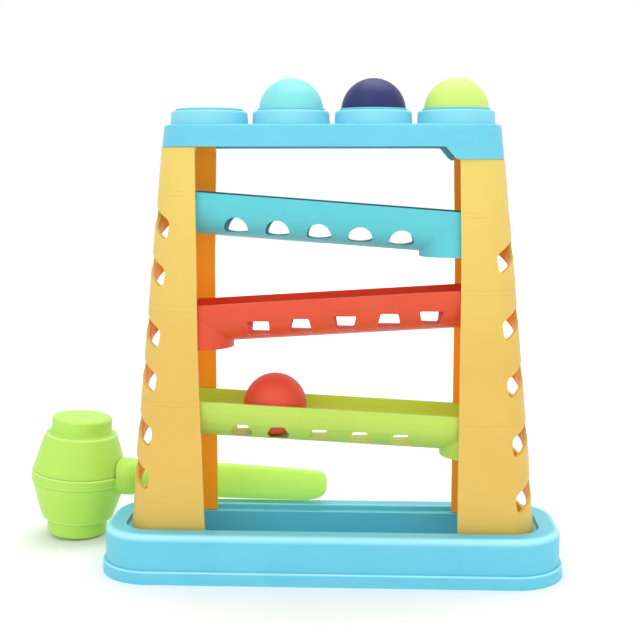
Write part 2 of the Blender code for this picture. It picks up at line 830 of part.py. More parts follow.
def channel_length(low_x, high_x):
    return abs(low_x) + abs(high_x) + 2 * (RAMP_HALF_WIDTH + RAMP_DEPTH)


def stadium(low_x, high_x, radius, ends_at):
    """The ramp's plan: round at both ends, counterclockwise from above."""
    left, right = min(low_x, high_x), max(low_x, high_x)
    quarter = math.pi / 2
    points = arc((right, 0), radius, -quarter, quarter, TUBE_STEPS * 2)
    points += arc((left, 0), radius, quarter, quarter * 3, TUBE_STEPS * 2)
    bottom, top = ends_at
    return standing(points, bottom, top)


def ramp_hollow(name, low_x, high_x, slope, edge, group):
    """The space the ball rolls in, with round ends, open above the edge."""
    section = channel_section(
        RAMP_HALF_WIDTH - RAMP_WALL + RAMP_TRIM, RAMP_SIDE, RAMP_DEPTH - RAMP_WALL, RAMP_DEPTH
    )
    length = channel_length(low_x, high_x)
    hollow = make_cutter(name + "_hollow", channel(section, slope, edge, length), group)
    plan = cutter_group(name + "_hollow_plan")
    heights = (edge(low_x) - RAMP_DEPTH * 2, edge(high_x) + RAMP_DEPTH * 2)
    mesh = stadium(low_x, high_x, RAMP_HALF_WIDTH - RAMP_WALL, heights)
    make_cutter(name + "_hollow_outline", mesh, plan)
    combine(hollow, plan, "INTERSECT")


def make_ramp(name, low_x, high_x, slope, edge, material, windows):
    length = channel_length(low_x, high_x)
    section = channel_section(RAMP_HALF_WIDTH + RAMP_TRIM, RAMP_SIDE, RAMP_DEPTH, 0)
    ramp = place(name, channel(section, slope, edge, length), TOWER, material)
    heights = (edge(low_x) - RAMP_DEPTH * 2, edge(high_x) + RAMP_DEPTH * 2)

    plan = cutter_group(name + "_plan")
    make_cutter(name + "_outline", stadium(low_x, high_x, RAMP_HALF_WIDTH, heights), plan)
    combine(ramp, plan, "INTERSECT")

    added = cutter_group(name + "_added")
    tube_top = edge(low_x) - TUBE_TOP_DROP
    tube_bottom = edge(low_x) - RAMP_DEPTH - TUBE_BELOW
    tube = cylinder("tube", TUBE_RADIUS, tube_bottom, tube_top, (low_x, 0), TUBE_STEPS * 4)
    make_cutter(name + "_tube", tube, added)
    combine(ramp, added, "UNION")

    hollows = cutter_group(name + "_hollows")
    ramp_hollow(name, low_x, high_x, slope, edge, hollows)
    combine(ramp, hollows, "DIFFERENCE")

    cuts = cutter_group(name + "_cuts")
    bore_bottom = tube_bottom - OVERRUN
    bore = cylinder("bore", TUBE_BORE, bore_bottom, tube_top, (low_x, 0), TUBE_STEPS * 4)
    make_cutter(name + "_tube_bore", bore, cuts)
    for outline in windows:
        make_cutter(name + "_window", upright(outline, RAMP_HALF_WIDTH + OVERRUN), cuts)
    combine(ramp, cuts, "DIFFERENCE")

    lugs = cutter_group(name + "_lugs")
    lug_blocks(edge, lugs)
    combine(ramp, lugs, "UNION")


def lug_blocks(edge, group):
    for side in (-1, 1):
        bottom = edge((LUG_FROM + LUG_TO) / 2 * side) - LUG_BELOW_EDGE - LUG_HEIGHT
        for face in (-1, 1):
            ys = sorted((LUG_ROOT * face, LUG_REACH * face))
            xs = sorted((LUG_FROM * side, LUG_TO * side))
            mesh = block("lug", (xs[0], ys[0], bottom), (xs[1], ys[1], bottom + LUG_HEIGHT))
            make_cutter("lug_block", mesh, group)


def upper_window(share):
    """A half moon, flat side down."""
    x = UPPER_LOW_X * share
    low = upper_edge(x) - RAMP_DEPTH * UPPER_WINDOW_LOW_SHARE
    rise = RAMP_DEPTH * (UPPER_WINDOW_LOW_SHARE - UPPER_WINDOW_HIGH_SHARE)
    points = arc((0, 0), 1, 0, math.pi, UPPER_WINDOW_STEPS)
    return [(x + px * UPPER_WINDOW_HALF, low + py * rise) for px, py in points]


def middle_window(share, halves):
    """A four sided opening, with its half widths at the bottom and the top."""
    x = MIDDLE_HIGH_X * share
    half_low, half_top = halves
    low = middle_edge(x) - RAMP_DEPTH * MIDDLE_WINDOW_LOW_SHARE
    high = middle_edge(x) - RAMP_DEPTH * MIDDLE_WINDOW_HIGH_SHARE
    points = [(x - half_low, low), (x + half_low, low), (x + half_top, high), (x - half_top, high)]
    return rounded(points, MIDDLE_WINDOW_ROUNDING, MIDDLE_WINDOW_ROUNDING_STEPS)


def lower_window(share):
    """A six sided opening, widest below its middle."""
    x = LOWER_LOW_X * share
    low = lower_edge(x) - RAMP_DEPTH * LOWER_WINDOW_LOW_SHARE
    middle = lower_edge(x) - RAMP_DEPTH * LOWER_WINDOW_MIDDLE_SHARE
    high = lower_edge(x) - RAMP_DEPTH * LOWER_WINDOW_HIGH_SHARE
    return [
        (x - LOWER_WINDOW_HALF_LOW, low),
        (x + LOWER_WINDOW_HALF_LOW, low),
        (x + LOWER_WINDOW_HALF_MIDDLE, middle),
        (x + LOWER_WINDOW_HALF_TOP, high),
        (x - LOWER_WINDOW_HALF_TOP, high),
        (x - LOWER_WINDOW_HALF_MIDDLE, middle),
    ]


def make_ramps():
    moons = [upper_window(share) for share in UPPER_WINDOW_SHARES]
    make_ramp("upper_ramp", UPPER_LOW_X, UPPER_HIGH_X, UPPER_SLOPE, upper_edge, PALE_BLUE, moons)
    slots = [middle_window(*window) for window in zip(MIDDLE_WINDOW_SHARES, MIDDLE_WINDOW_HALVES)]
    make_ramp("middle_ramp", MIDDLE_LOW_X, MIDDLE_HIGH_X, MIDDLE_SLOPE, middle_edge, RED, slots)
    gems = [lower_window(share) for share in LOWER_WINDOW_SHARES]
    make_ramp("lower_ramp", LOWER_LOW_X, LOWER_HIGH_X, LOWER_SLOPE, lower_edge, LIME, gems)


# Balls


def make_ball(name, location, material):
    bm = bmesh.new()
    bmesh.ops.create_uvsphere(bm, u_segments=BALL_SEGMENTS, v_segments=BALL_RINGS, radius=BALL_RADIUS)
    mesh = mesh_from(bm, name)
    smooth(mesh)
    ball = place(name, mesh, TOWER, material)
    ball.location = location


def red_ball_place():
    """The red ball stands a clearance off the lowest line of the lower ramp."""
    x = LOWER_LOW_X * RED_BALL_SHARE
    lean = math.atan(LOWER_SLOPE)
    floor = lower_edge(x) - (RAMP_DEPTH - RAMP_WALL) / math.cos(lean)
    return x, 0, floor + (BALL_RADIUS + CLEARANCE) / math.cos(lean)


def make_balls():
    make_ball("teal_ball", (socket_x(1), 0, COLLAR_TOP), TEAL)
    make_ball("navy_ball", (socket_x(2), 0, COLLAR_TOP), NAVY)
    make_ball("lime_ball", (socket_x(3), 0, COLLAR_TOP), PALE_LIME)
    make_ball("red_ball", red_ball_place(), BALL_RED)


# Mallet


def barrel():
    return [(BARREL_RADIUS * radius, SHOULDER_HEIGHT * height) for radius, height in BARREL_SHARES]


def barrel_inside():
    """The wall's inner side, no wider than the belt's seat allows, from the belt upwards."""
    widest = BELT_SEAT_RADIUS - HEAD_WALL
    inside = [(min(radius - HEAD_WALL, widest), height - HEAD_WALL / 2) for radius, height in barrel()[:-1]]
    return inside[::-1]


def head_shell_profile():
    """The upper cup, outer side from the top down, then the inner side back up."""
    crown_centre = (FACE_RADIUS, HEAD_HALF_HEIGHT - CAP_ROUNDING)
    crown = arc(crown_centre, CAP_ROUNDING, math.pi / 2, 0, ROUNDING_STEPS)
    split = CLEARANCE / 2
    seat = BELT_HALF_HEIGHT + CLEARANCE
    cap_inner = CAP_RADIUS - CAP_INNER_STEP
    return [
        (0, HEAD_HALF_HEIGHT),
        *crown,
        (CAP_RADIUS, SHOULDER_HEIGHT),
        (SHOULDER_RADIUS - SHOULDER_ROUNDING, SHOULDER_HEIGHT),
        (SHOULDER_RADIUS, SHOULDER_HEIGHT - SHOULDER_ROUNDING),
        *barrel(),
        (BARREL_RADIUS, seat),
        (BELT_SEAT_RADIUS, seat),
        (BELT_SEAT_RADIUS, split),
        (BELT_SEAT_RADIUS - HEAD_WALL, split),
        *barrel_inside(),
        (cap_inner, SHOULDER_HEIGHT - HEAD_WALL),
        (cap_inner, HEAD_HALF_HEIGHT - HEAD_WALL),
        (0, HEAD_HALF_HEIGHT - HEAD_WALL),
    ]


def belt_profile():
    half = BELT_HALF_HEIGHT
    inner = BELT_SEAT_RADIUS + CLEARANCE
    return [
        (inner, half),
        (BELT_RADIUS - BELT_ROUNDING, half),
        (BELT_RADIUS, half - BELT_ROUNDING),
        (BELT_RADIUS, BELT_ROUNDING - half),
        (BELT_RADIUS - BELT_ROUNDING, -half),
        (inner, -half),
    ]


def neck_cutter(parent):
    """The hole through the belt's middle and the head's wall that takes the handle's tenon."""
    group = cutter_group("neck_hole")
    radius = TENON_RADIUS + CLEARANCE
    inner = BELT_SEAT_RADIUS - HEAD_WALL - OVERRUN
    mesh = cylinder("hole", radius, inner, BELT_RADIUS + OVERRUN, (0, 0), HANDLE_STEPS)
    mesh.transform(Matrix.Rotation(math.pi / 2, 4, "Y"))
    cutter = make_cutter("neck_hole_cutter", mesh, group)
    cutter.parent = parent
    return group


def handle_profile():
    return [(HANDLE_START + HANDLE_LENGTH * x, HANDLE_RADIUS * radius) for x, radius in HANDLE_SHARES]


def thin_share(x):
    """The neck stays round and the paddle beyond it goes flat."""
    profile = handle_profile()
    start, full = profile[1][0], profile[4][0]
    share = min(max((x - start) / (full - start), 0), 1)
    return 1 - share * (1 - HANDLE_THIN_SHARE)


def make_handle(parent, bend):
    """The tenon is square to the head, and the rest of the handle rises from it by the bend."""
    tenon = HANDLE_START - TENON_LENGTH
    profile = [(0, -tenon), (TENON_RADIUS, -tenon), (TENON_RADIUS, -HANDLE_START)]
    profile += [(radius, -x) for x, radius in handle_profile()]
    profile.append((0, -HANDLE_START - HANDLE_LENGTH))
    bm = bmesh.new()
    verts = [bm.verts.new((radius, 0, height)) for radius, height in profile]
    edges = [bm.edges.new(pair) for pair in zip(verts, verts[1:])]
    bmesh.ops.spin(
        bm, geom=verts + edges, axis=(0, 0, 1), cent=(0, 0, 0), angle=math.tau,
        steps=HANDLE_STEPS, use_merge=True, use_duplicate=False,
    )
    bmesh.ops.remove_doubles(bm, verts=bm.verts, dist=MERGE_DISTANCE)
    bmesh.ops.recalc_face_normals(bm, faces=bm.faces)
    for vert in bm.verts:
        vert.co.y *= thin_share(-vert.co.z)
    mesh = mesh_from(bm, "mallet_handle")
    mesh.transform(Matrix.Rotation(-math.pi / 2, 4, "Y"))
    for vert in mesh.vertices:
        in_tenon = vert.co.x < HANDLE_START + MERGE_DISTANCE
        if in_tenon and math.hypot(vert.co.y, vert.co.z) < TENON_RADIUS + MERGE_DISTANCE:
            vert.co.z -= vert.co.x * math.tan(bend)
    smooth(mesh)
    place("mallet_handle", mesh, parent, PALE_GREEN)


def rim_height(y):
    """The height of the tray's back rim over a line along X."""
    inset = TRAY_HALF_DEPTH - y - FLANGE_STEP
    if inset < 0:
        return FLANGE_HEIGHT
    from_top = max(RIM_ROUNDING - inset, 0)
    return RIM_HEIGHT - RIM_ROUNDING + math.sqrt(RIM_ROUNDING**2 - from_top**2)


def handle_droop(level):
    """The angle that lays the handle on the tray's rim, a clearance over it, from the head's level."""
    slopes = []
    for x, radius in handle_profile():
        for angle in arc((0, 0), 1, math.pi, math.tau, HANDLE_STEPS):
            across = radius * thin_share(x) * angle[0]
            below = radius * angle[1]
            y = MALLET_Y + x * math.sin(MALLET_YAW) + across * math.cos(MALLET_YAW)
            slopes.append((level + below - rim_height(y) - CLEARANCE) / x)
    return math.atan(min(slopes))


def make_mallet():
    lean = HEAD_HALF_HEIGHT * math.cos(HEAD_LEAN) + FACE_RADIUS * math.sin(HEAD_LEAN)
    level = lean + CLEARANCE
    mallet = empty_at("mallet", (MALLET_X, MALLET_Y, level), TOWER)
    mallet.rotation_euler = (0, 0, MALLET_YAW)
    head = empty_at("mallet_head", (0, 0, 0), mallet)
    head.rotation_euler = (0, HEAD_LEAN, 0)
    grip = empty_at("mallet_grip", (0, 0, 0), mallet)
    droop = handle_droop(level)
    grip.rotation_euler = (0, droop, 0)
    hole = neck_cutter(head)
    for name, turn in (("mallet_upper_shell", 0), ("mallet_lower_shell", math.pi)):
        shell = turned(name, head_shell_profile(), HEAD_STEPS, head, PALE_GREEN, closed=False)
        shell.rotation_euler = (turn, 0, 0)
        combine(shell, hole, "DIFFERENCE")
    belt = turned("mallet_belt", belt_profile(), HEAD_STEPS, head, PALE_GREEN, closed=True)
    combine(belt, hole, "DIFFERENCE")
    make_handle(grip, HEAD_LEAN - droop)


clear_scene()
PARTS = new_collection("ball_pounding_tower")
CUTTERS = new_collection("cutters")

SKY_BLUE = plastic("sky_blue_plastic", (0.20, 0.66, 0.86), 0.35)
SOFT_BLUE = plastic("soft_blue_rubber", (0.22, 0.62, 0.80), 0.55)
YELLOW = plastic("yellow_plastic", (0.90, 0.66, 0.14), 0.35)
PALE_BLUE = plastic("pale_blue_plastic", (0.17, 0.68, 0.78), 0.35)
RED = plastic("red_plastic", (0.78, 0.12, 0.05), 0.35)
LIME = plastic("lime_plastic", (0.62, 0.74, 0.13), 0.35)
TEAL = plastic("teal_ball_plastic", (0.30, 0.78, 0.80), 0.30)
NAVY = plastic("navy_ball_plastic", (0.03, 0.08, 0.20), 0.30)
PALE_LIME = plastic("lime_ball_plastic", (0.70, 0.88, 0.30), 0.30)
BALL_RED = plastic("red_ball_plastic", (0.82, 0.13, 0.07), 0.30)
PALE_GREEN = plastic("pale_green_plastic", (0.55, 0.78, 0.26), 0.35)

TOWER = empty_at("tower", (TOWER_X, TOWER_Y, 0))
make_tray()
make_pillar("left_pillar", -1, LEFT_WINDOW_SHARES, DECK_BOTTOM - CLEARANCE, (set_back_edge, reaching_edge))
make_pillar("right_pillar", 1, RIGHT_WINDOW_SHARES, EAR_BOTTOM - CLEARANCE, (wing_edge, wing_edge))
make_deck()
make_socket_rings()
make_ramps()
make_balls()
make_mallet()
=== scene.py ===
# %% [markdown]
# # A ball pounding tower
# Four balls sit in the sockets of a deck. Struck with the mallet, a ball drops through its socket,
# rolls down three sloping ramps between two side towers, and ends in the tray. Each moulding is
# modelled here at its real size, in metres, over the plain solids that the toy was designed with.

# %% Load the plain solids
import bmesh
import bpy
import math
from mathutils import Matrix, Vector


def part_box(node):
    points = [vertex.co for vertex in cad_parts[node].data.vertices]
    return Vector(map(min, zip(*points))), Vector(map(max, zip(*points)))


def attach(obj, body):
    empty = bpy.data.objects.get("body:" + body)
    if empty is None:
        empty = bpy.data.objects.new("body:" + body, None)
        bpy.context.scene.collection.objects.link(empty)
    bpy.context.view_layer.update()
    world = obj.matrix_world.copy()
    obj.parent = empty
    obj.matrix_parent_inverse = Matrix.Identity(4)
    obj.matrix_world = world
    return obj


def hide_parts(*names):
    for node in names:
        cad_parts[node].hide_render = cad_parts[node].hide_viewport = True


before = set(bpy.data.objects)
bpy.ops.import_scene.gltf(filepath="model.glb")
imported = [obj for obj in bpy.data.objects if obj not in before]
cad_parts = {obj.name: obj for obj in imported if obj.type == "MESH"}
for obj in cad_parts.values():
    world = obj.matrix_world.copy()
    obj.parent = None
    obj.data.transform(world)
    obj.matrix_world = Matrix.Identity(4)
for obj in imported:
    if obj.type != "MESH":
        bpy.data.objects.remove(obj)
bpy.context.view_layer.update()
tray_low, tray_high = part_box("base_tray")
TOWER = Vector(((tray_low.x + tray_high.x) / 2, (tray_low.y + tray_high.y) / 2, 0))
print("the tower stands at", [round(value, 4) for value in TOWER])

# %% [markdown]
# ## The camera
# The photograph is taken from a little above the deck, from slightly right of the middle. A long
# lens keeps the towers' edges calm. The numbers come from fitting the toy's corners to the picture.

# %% Camera
CAMERA_PLACE = Vector((0.02634, -0.80564, 0.28792))
CAMERA_TILT, CAMERA_TURN = math.radians(82.653), math.radians(2.493)
LENS, SENSOR = 62.65, 36

bpy.ops.object.select_all(action="DESELECT")
bpy.ops.object.camera_add(location=TOWER + CAMERA_PLACE, rotation=(CAMERA_TILT, 0, CAMERA_TURN))
camera = bpy.context.object
camera.name = "photograph_camera"
camera.data.lens = LENS
camera.data.sensor_width = SENSOR
bpy.context.scene.camera = camera
print("camera height", round(camera.location.z, 3))

# %% [markdown]
# ## Floor and light
# The floor is one wide pale sheet that glows a little towards the horizon, so that it runs out into
# white. A broad lamp in front and above gives the soft highlight along the rims, with a painted
# highlight band on the tray's rim; a low one opposite keeps the shadows open without a highlight of
# its own, and a white world fills the rest.

# %% A shader node in one call
def add_node(nodes, kind, **values):
    """A node with its plain settings, and with its inputs where a name starts with in_."""
    node = nodes.new(kind)
    for key, value in values.items():
        if key.startswith("in_"):
            name = key[3:].replace("_", " ")
            node.inputs[name].default_value = value
        else:
            setattr(node, key, value)
    return node


# %% Floor
bpy.ops.object.select_all(action="DESELECT")
bpy.ops.mesh.primitive_plane_add(size=8, location=(0, 0, 0))
floor = bpy.context.object
floor.name = "floor"
print("floor", floor.dimensions[:2])

# %% Floor finish
floor_finish = bpy.data.materials.new("pale_floor")
floor_finish.use_nodes = True
nodes, links = floor_finish.node_tree.nodes, floor_finish.node_tree.links
shader = nodes["Principled BSDF"]
shader.inputs["Base Color"].default_value = (0.93, 0.93, 0.935, 1)
shader.inputs["Roughness"].default_value = 0.85
shader.inputs["Specular IOR Level"].default_value = 0.2
shader.inputs["Emission Color"].default_value = (1, 1, 1, 1)
path = nodes.new("ShaderNodeLightPath")
where = nodes.new("ShaderNodeTexCoord")
glow = add_node(nodes, "ShaderNodeMath", operation="MULTIPLY")
reach = add_node(nodes, "ShaderNodeVectorMath", operation="LENGTH")
fade = add_node(
    nodes, "ShaderNodeMapRange", in_From_Min=0.3, in_From_Max=1.3, in_To_Min=0.03, in_To_Max=0.45
)
links.new(where.outputs["Object"], reach.inputs[0])
links.new(reach.outputs["Value"], fade.inputs["Value"])
links.new(path.outputs["Is Camera Ray"], glow.inputs[0])
links.new(fade.outputs["Result"], glow.inputs[1])
links.new(glow.outputs[0], shader.inputs["Emission Strength"])
floor.data.materials.append(floor_finish)

# %% World
world = bpy.data.worlds.new("studio")
bpy.context.scene.world = world
world.use_nodes = True
nodes, links = world.node_tree.nodes, world.node_tree.links
background = nodes["Background"]
background.inputs["Color"].default_value = (1, 1, 1, 1)
path = nodes.new("ShaderNodeLightPath")
seen = add_node(nodes, "ShaderNodeMath", operation="MAXIMUM")
also = add_node(nodes, "ShaderNodeMath", operation="MAXIMUM")
level = add_node(nodes, "ShaderNodeMapRange", in_To_Min=0.84, in_To_Max=1.0)
links.new(path.outputs["Is Camera Ray"], seen.inputs[0])
links.new(path.outputs["Is Glossy Ray"], seen.inputs[1])
links.new(seen.outputs[0], also.inputs[0])
links.new(path.outputs["Is Transmission Ray"], also.inputs[1])
links.new(also.outputs[0], level.inputs["Value"])
links.new(level.outputs["Result"], background.inputs["Strength"])


# %% Lamps
def soft_lamp(name, place, aim, size, power):
    """A square lamp that looks at the aim."""
    bpy.ops.object.select_all(action="DESELECT")
    direction = Vector(aim) - Vector(place)
    turn = direction.to_track_quat("-Z", "Y").to_euler()
    bpy.ops.object.light_add(type="AREA", location=place, rotation=turn)
    lamp = bpy.context.object
    lamp.name = name
    lamp.data.shape = "SQUARE"
    lamp.data.size = size
    lamp.data.energy = power
    print(name, power, "watts")
    return lamp


soft_lamp("key_lamp", (-0.55, -1.25, 1.35), (0, 0, 0.15), 1.1, 3.4)
fill = soft_lamp("fill_lamp", (0.35, -1.35, 0.32), (0, 0, 0.08), 0.7, 2.8)
fill.visible_glossy = False
soft_lamp("top_lamp", (0.1, 0.25, 1.6), (0, 0, 0.1), 1.2, 11)

bpy.context.scene.view_settings.view_transform = "Standard"

# %% [markdown]
# ## Moulded plastic
# Every piece is dyed polypropylene. Close to, such plastic has a faint mottle from the mould and a
# fine grain that softens the shine. One node group makes these two for every colour, and paints a
# pale highlight on the edges. Each face says in an attribute how much of an edge highlight it
# takes, and in another how much painted light and shade: light bounced and shining through the wall
# on inner sides, shade in the blue channel, and light on the handle.

# %% The plastic's node group: its sockets
moulded = bpy.data.node_groups.new("moulded_plastic", "ShaderNodeTree")
for name, kind, value in (
    ("Colour", "NodeSocketColor", (0.5, 0.5, 0.5, 1)),
    ("Edge Colour", "NodeSocketColor", (0.8, 0.8, 0.8, 1)),
    ("Deep Colour", "NodeSocketColor", (0.4, 0.4, 0.4, 1)),
    ("Roughness", "NodeSocketFloat", 0.36),
    ("Grain", "NodeSocketFloat", 0.06),
):
    socket = moulded.interface.new_socket(name=name, in_out="INPUT", socket_type=kind)
    socket.default_value = value
for name, kind in (
    ("Colour", "NodeSocketColor"), ("Roughness", "NodeSocketFloat"), ("Normal", "NodeSocketVector")
):
    moulded.interface.new_socket(name=name, in_out="OUTPUT", socket_type=kind)

# %% Mottle, painted edge highlights and grain inside the group
GRAIN_IN_SHINE = 0.10

nodes, links = moulded.nodes, moulded.links
given = nodes.new("NodeGroupInput")
put = nodes.new("NodeGroupOutput")
where = nodes.new("ShaderNodeTexCoord")
cloud = add_node(nodes, "ShaderNodeTexNoise", in_Scale=22.0, in_Detail=3.0, in_Roughness=0.55)
fine = add_node(nodes, "ShaderNodeTexNoise", in_Scale=2600.0, in_Detail=2.0, in_Roughness=0.6)
links.new(where.outputs["Object"], cloud.inputs["Vector"])
links.new(where.outputs["Object"], fine.inputs["Vector"])

patchy = add_node(nodes, "ShaderNodeMapRange", in_From_Min=0.35, in_From_Max=0.7)
links.new(cloud.outputs["Fac"], patchy.inputs["Value"])
body_mix = add_node(nodes, "ShaderNodeMix", data_type="RGBA")
links.new(patchy.outputs["Result"], body_mix.inputs["Factor"])
links.new(given.outputs["Colour"], body_mix.inputs["A"])
links.new(given.outputs["Deep Colour"], body_mix.inputs["B"])

# Painted highlight: faces marked as edges take the pale edge highlight colour.
edge = add_node(nodes, "ShaderNodeAttribute", attribute_name="edge")
edge_mix = add_node(nodes, "ShaderNodeMix", data_type="RGBA")
links.new(edge.outputs["Fac"], edge_mix.inputs["Factor"])
links.new(body_mix.outputs["Result"], edge_mix.inputs["A"])
links.new(given.outputs["Edge Colour"], edge_mix.inputs["B"])
links.new(edge_mix.outputs["Result"], put.inputs["Colour"])

shine = add_node(nodes, "ShaderNodeMath", operation="MULTIPLY_ADD")
shine.inputs[1].default_value = GRAIN_IN_SHINE
links.new(fine.outputs["Fac"], shine.inputs[0])
links.new(given.outputs["Roughness"], shine.inputs[2])
links.new(shine.outputs[0], put.inputs["Roughness"])

bump = add_node(nodes, "ShaderNodeBump", in_Distance=0.0002)
links.new(given.outputs["Grain"], bump.inputs["Strength"])
links.new(fine.outputs["Fac"], bump.inputs["Height"])
links.new(bump.outputs["Normal"], put.inputs["Normal"])
print("the plastic group has", len(nodes), "nodes")


# %% Colours and mixes
def srgb(red, green, blue):
    """A colour as read off a screen, made linear."""
    values = []
    for value in (red, green, blue):
        share = value / 255
        values.append(share / 12.92 if share <= 0.04045 else ((share + 0.055) / 1.055) ** 2.4)
    return (*values, 1)


def mixed(tree, factor, first, second):
    """Mixes two colours, each a socket or a plain colour, by the factor's socket."""
    mix = add_node(tree.nodes, "ShaderNodeMix", data_type="RGBA")
    tree.links.new(factor, mix.inputs["Factor"])
    for name, value in (("A", first), ("B", second)):
        if isinstance(value, tuple):
            mix.inputs[name].default_value = value
        else:
            tree.links.new(value, mix.inputs[name])
    return mix.outputs["Result"]


def painted_light_above(tree, body, top):
    """The body's colour, turning into the top colour with height: painted light from above."""
    where = tree.nodes.new("ShaderNodeTexCoord")
    split = tree.nodes.new("ShaderNodeSeparateXYZ")
    share = add_node(
        tree.nodes, "ShaderNodeMapRange", in_From_Min=0.15, in_From_Max=0.31, in_To_Max=0.8
    )
    tree.links.new(where.outputs["Object"], split.inputs["Vector"])
    tree.links.new(split.outputs["Z"], share.inputs["Value"])
    return mixed(tree, share.outputs["Result"], body, srgb(*top))


# %% A finish for each colour
def plastic(
    name, colour, deep, edge, roughness=0.34, glow=0.10, inner=None, through=0.0, top=None
):
    """A dyed plastic. Where the mask of painted light and shade is set, the colour turns into the
    inner
    colour and glows by the through value: painted light bounced inside and shining through the
    wall, and on the handle, and painted shade in the blue channel. A plastic with a top colour
    pales towards the top of the toy, as painted light from above."""
    finish = bpy.data.materials.new(name)
    finish.use_nodes = True
    tree = finish.node_tree
    shader = tree.nodes["Principled BSDF"]
    group = add_node(
        tree.nodes, "ShaderNodeGroup", node_tree=moulded, in_Colour=srgb(*colour),
        in_Deep_Colour=srgb(*deep), in_Edge_Colour=srgb(*edge), in_Roughness=roughness,
    )
    painted_inner_colour = srgb(*(inner or deep))
    # The inside attribute is the mask of painted light and shade.
    side = add_node(tree.nodes, "ShaderNodeAttribute", attribute_name="inside").outputs["Fac"]
    body = group.outputs["Colour"]
    if top:
        body = painted_light_above(tree, body, top)
    for output, socket in (
        (mixed(tree, side, body, painted_inner_colour), "Base Color"),
        (mixed(tree, side, (0, 0, 0, 1), painted_inner_colour), "Emission Color"),
        (group.outputs["Roughness"], "Roughness"),
        (group.outputs["Normal"], "Normal"),
    ):
        tree.links.new(output, shader.inputs[socket])
    for socket, value in (
        ("Emission Strength", through), ("IOR", 1.49), ("Specular IOR Level", 0.4),
        ("Subsurface Weight", glow), ("Subsurface Radius", (1.0, 0.9, 0.8)),
        ("Subsurface Scale", 0.003),
    ):
        shader.inputs[socket].default_value = value
    print(name)
    return finish


# %% The colours
# The third colour of each plastic is its painted edge highlight. Painted light: the trough takes
# the sky blue's inner colour and glows a little.
SKY_BLUE = plastic(
    "sky_blue_plastic", (108, 203, 226), (102, 198, 222), (170, 238, 250),
    inner=(100, 192, 216), through=0.06,
)
SOFT_BLUE = plastic("soft_blue_rubber", (108, 204, 224), (102, 198, 220), (160, 232, 244), 0.5)
# Painted light: the towers' inner sides are orange and glow, and the towers pale towards the top.
YELLOW = plastic(
    "warm_yellow_plastic", (226, 187, 92), (224, 184, 87), (252, 222, 134),
    inner=(232, 146, 26), through=0.24, top=(236, 212, 108),
)
# Painted shade: the blue channel's inner sides are darker.
PALE_BLUE = plastic(
    "pale_blue_plastic", (96, 202, 212), (90, 196, 207), (176, 240, 244), inner=(44, 132, 146)
)
# Painted light: the red channel's inner sides are a deeper red and glow a little.
RED = plastic(
    "coral_red_plastic", (224, 84, 50), (218, 76, 44), (255, 150, 116),
    inner=(214, 56, 20), through=0.1,
)
# Painted light: the green channel's inner sides glow a little.
LIME = plastic(
    "lime_green_plastic", (190, 218, 92), (184, 213, 86), (226, 240, 150),
    inner=(192, 214, 72), through=0.12,
)
PALE_GREEN = plastic("pale_green_plastic", (184, 230, 96), (178, 225, 88), (208, 242, 146))
# Painted light: a lit copy of the pale green that glows, for the handle in the towers' shade.
LIT_GREEN_HANDLE = plastic(
    "green_handle_painted_light", (184, 230, 96), (178, 225, 88), (208, 242, 146),
    inner=(188, 234, 102), through=0.28,
)
BALLS = {
    "teal_ball": ((132, 222, 222), (126, 217, 217), (180, 238, 238), 0.2),
    "navy_ball": ((32, 42, 98), (28, 38, 92), (70, 80, 130), 0.0),
    "lime_ball": ((206, 236, 120), (200, 231, 112), (228, 246, 170), 0.2),
    "red_ball": ((230, 84, 58), (224, 76, 52), (255, 140, 116), 0.15),
}
BALL_ROUGHNESS = 0.42
BALL_PLASTICS = {
    node: plastic(node + "_plastic", colour, deep, edge, BALL_ROUGHNESS, glow)
    for node, (colour, deep, edge, glow) in BALLS.items()
}

# %% [markdown]
# ## Tools for the hands
# Each piece starts as a primitive and is shaped in edit mode. These small helpers choose faces,
# edges or points by where they are, because a script has no mouse to click with. A height counts as
# met within a twentieth or a tenth of a millimetre.


# %% Selecting
EDGE_SLACK, LEVEL_SLACK = 0.00005, 0.0001
UP_FACING = 0.9


def nothing_selected():
    if bpy.context.mode != "OBJECT":
        bpy.ops.object.mode_set(mode="OBJECT")
    bpy.ops.object.select_all(action="DESELECT")


def make_active(piece):
    nothing_selected()
    piece.select_set(True)
    bpy.context.view_layer.objects.active = piece


def edit(piece):
    make_active(piece)
    bpy.ops.object.mode_set(mode="EDIT")


def select_all():
    bpy.ops.mesh.select_all(action="SELECT")


def pick(kind, test):
    """In edit mode, selects the points, edges or faces that pass the test."""
    bpy.ops.mesh.select_mode(type=kind)
    bpy.ops.mesh.select_all(action="DESELECT")
    mesh = bpy.context.edit_object.data
    shape = bmesh.from_edit_mesh(mesh)
    items = {"VERT": shape.verts, "EDGE": shape.edges, "FACE": shape.faces}[kind]
    found = [item for item in items if test(item)]
    for item in found:
        item.select_set(True)
    shape.select_flush_mode()
    bmesh.update_edit_mesh(mesh)
    return len(found)


def middle(item):
    return sum((vert.co for vert in item.verts), Vector()) / len(item.verts)


def upright(edge):
    a, b = edge.verts
    return abs(a.co.z - b.co.z) > UP_FACING * edge.calc_length() > 0


def at_height(item, height, slack=EDGE_SLACK):
    return all(abs(vert.co.z - height) < slack for vert in item.verts)


# %% Shaping
MERGE = 0.000002


def step_in(distance):
    bpy.ops.mesh.inset(thickness=distance, depth=0)


def rise(distance):
    bpy.ops.mesh.extrude_region_move(TRANSFORM_OT_translate={"value": (0, 0, distance)})


def round_off(radius, steps):
    bpy.ops.mesh.bevel(offset=radius, segments=steps, affect="EDGES")


def merge_points(distance=MERGE):
    select_all()
    bpy.ops.mesh.remove_doubles(threshold=distance)


def face_outwards():
    select_all()
    bpy.ops.mesh.normals_make_consistent(inside=False)


# %% Pieces to start from
ROUND_SIDES = 96


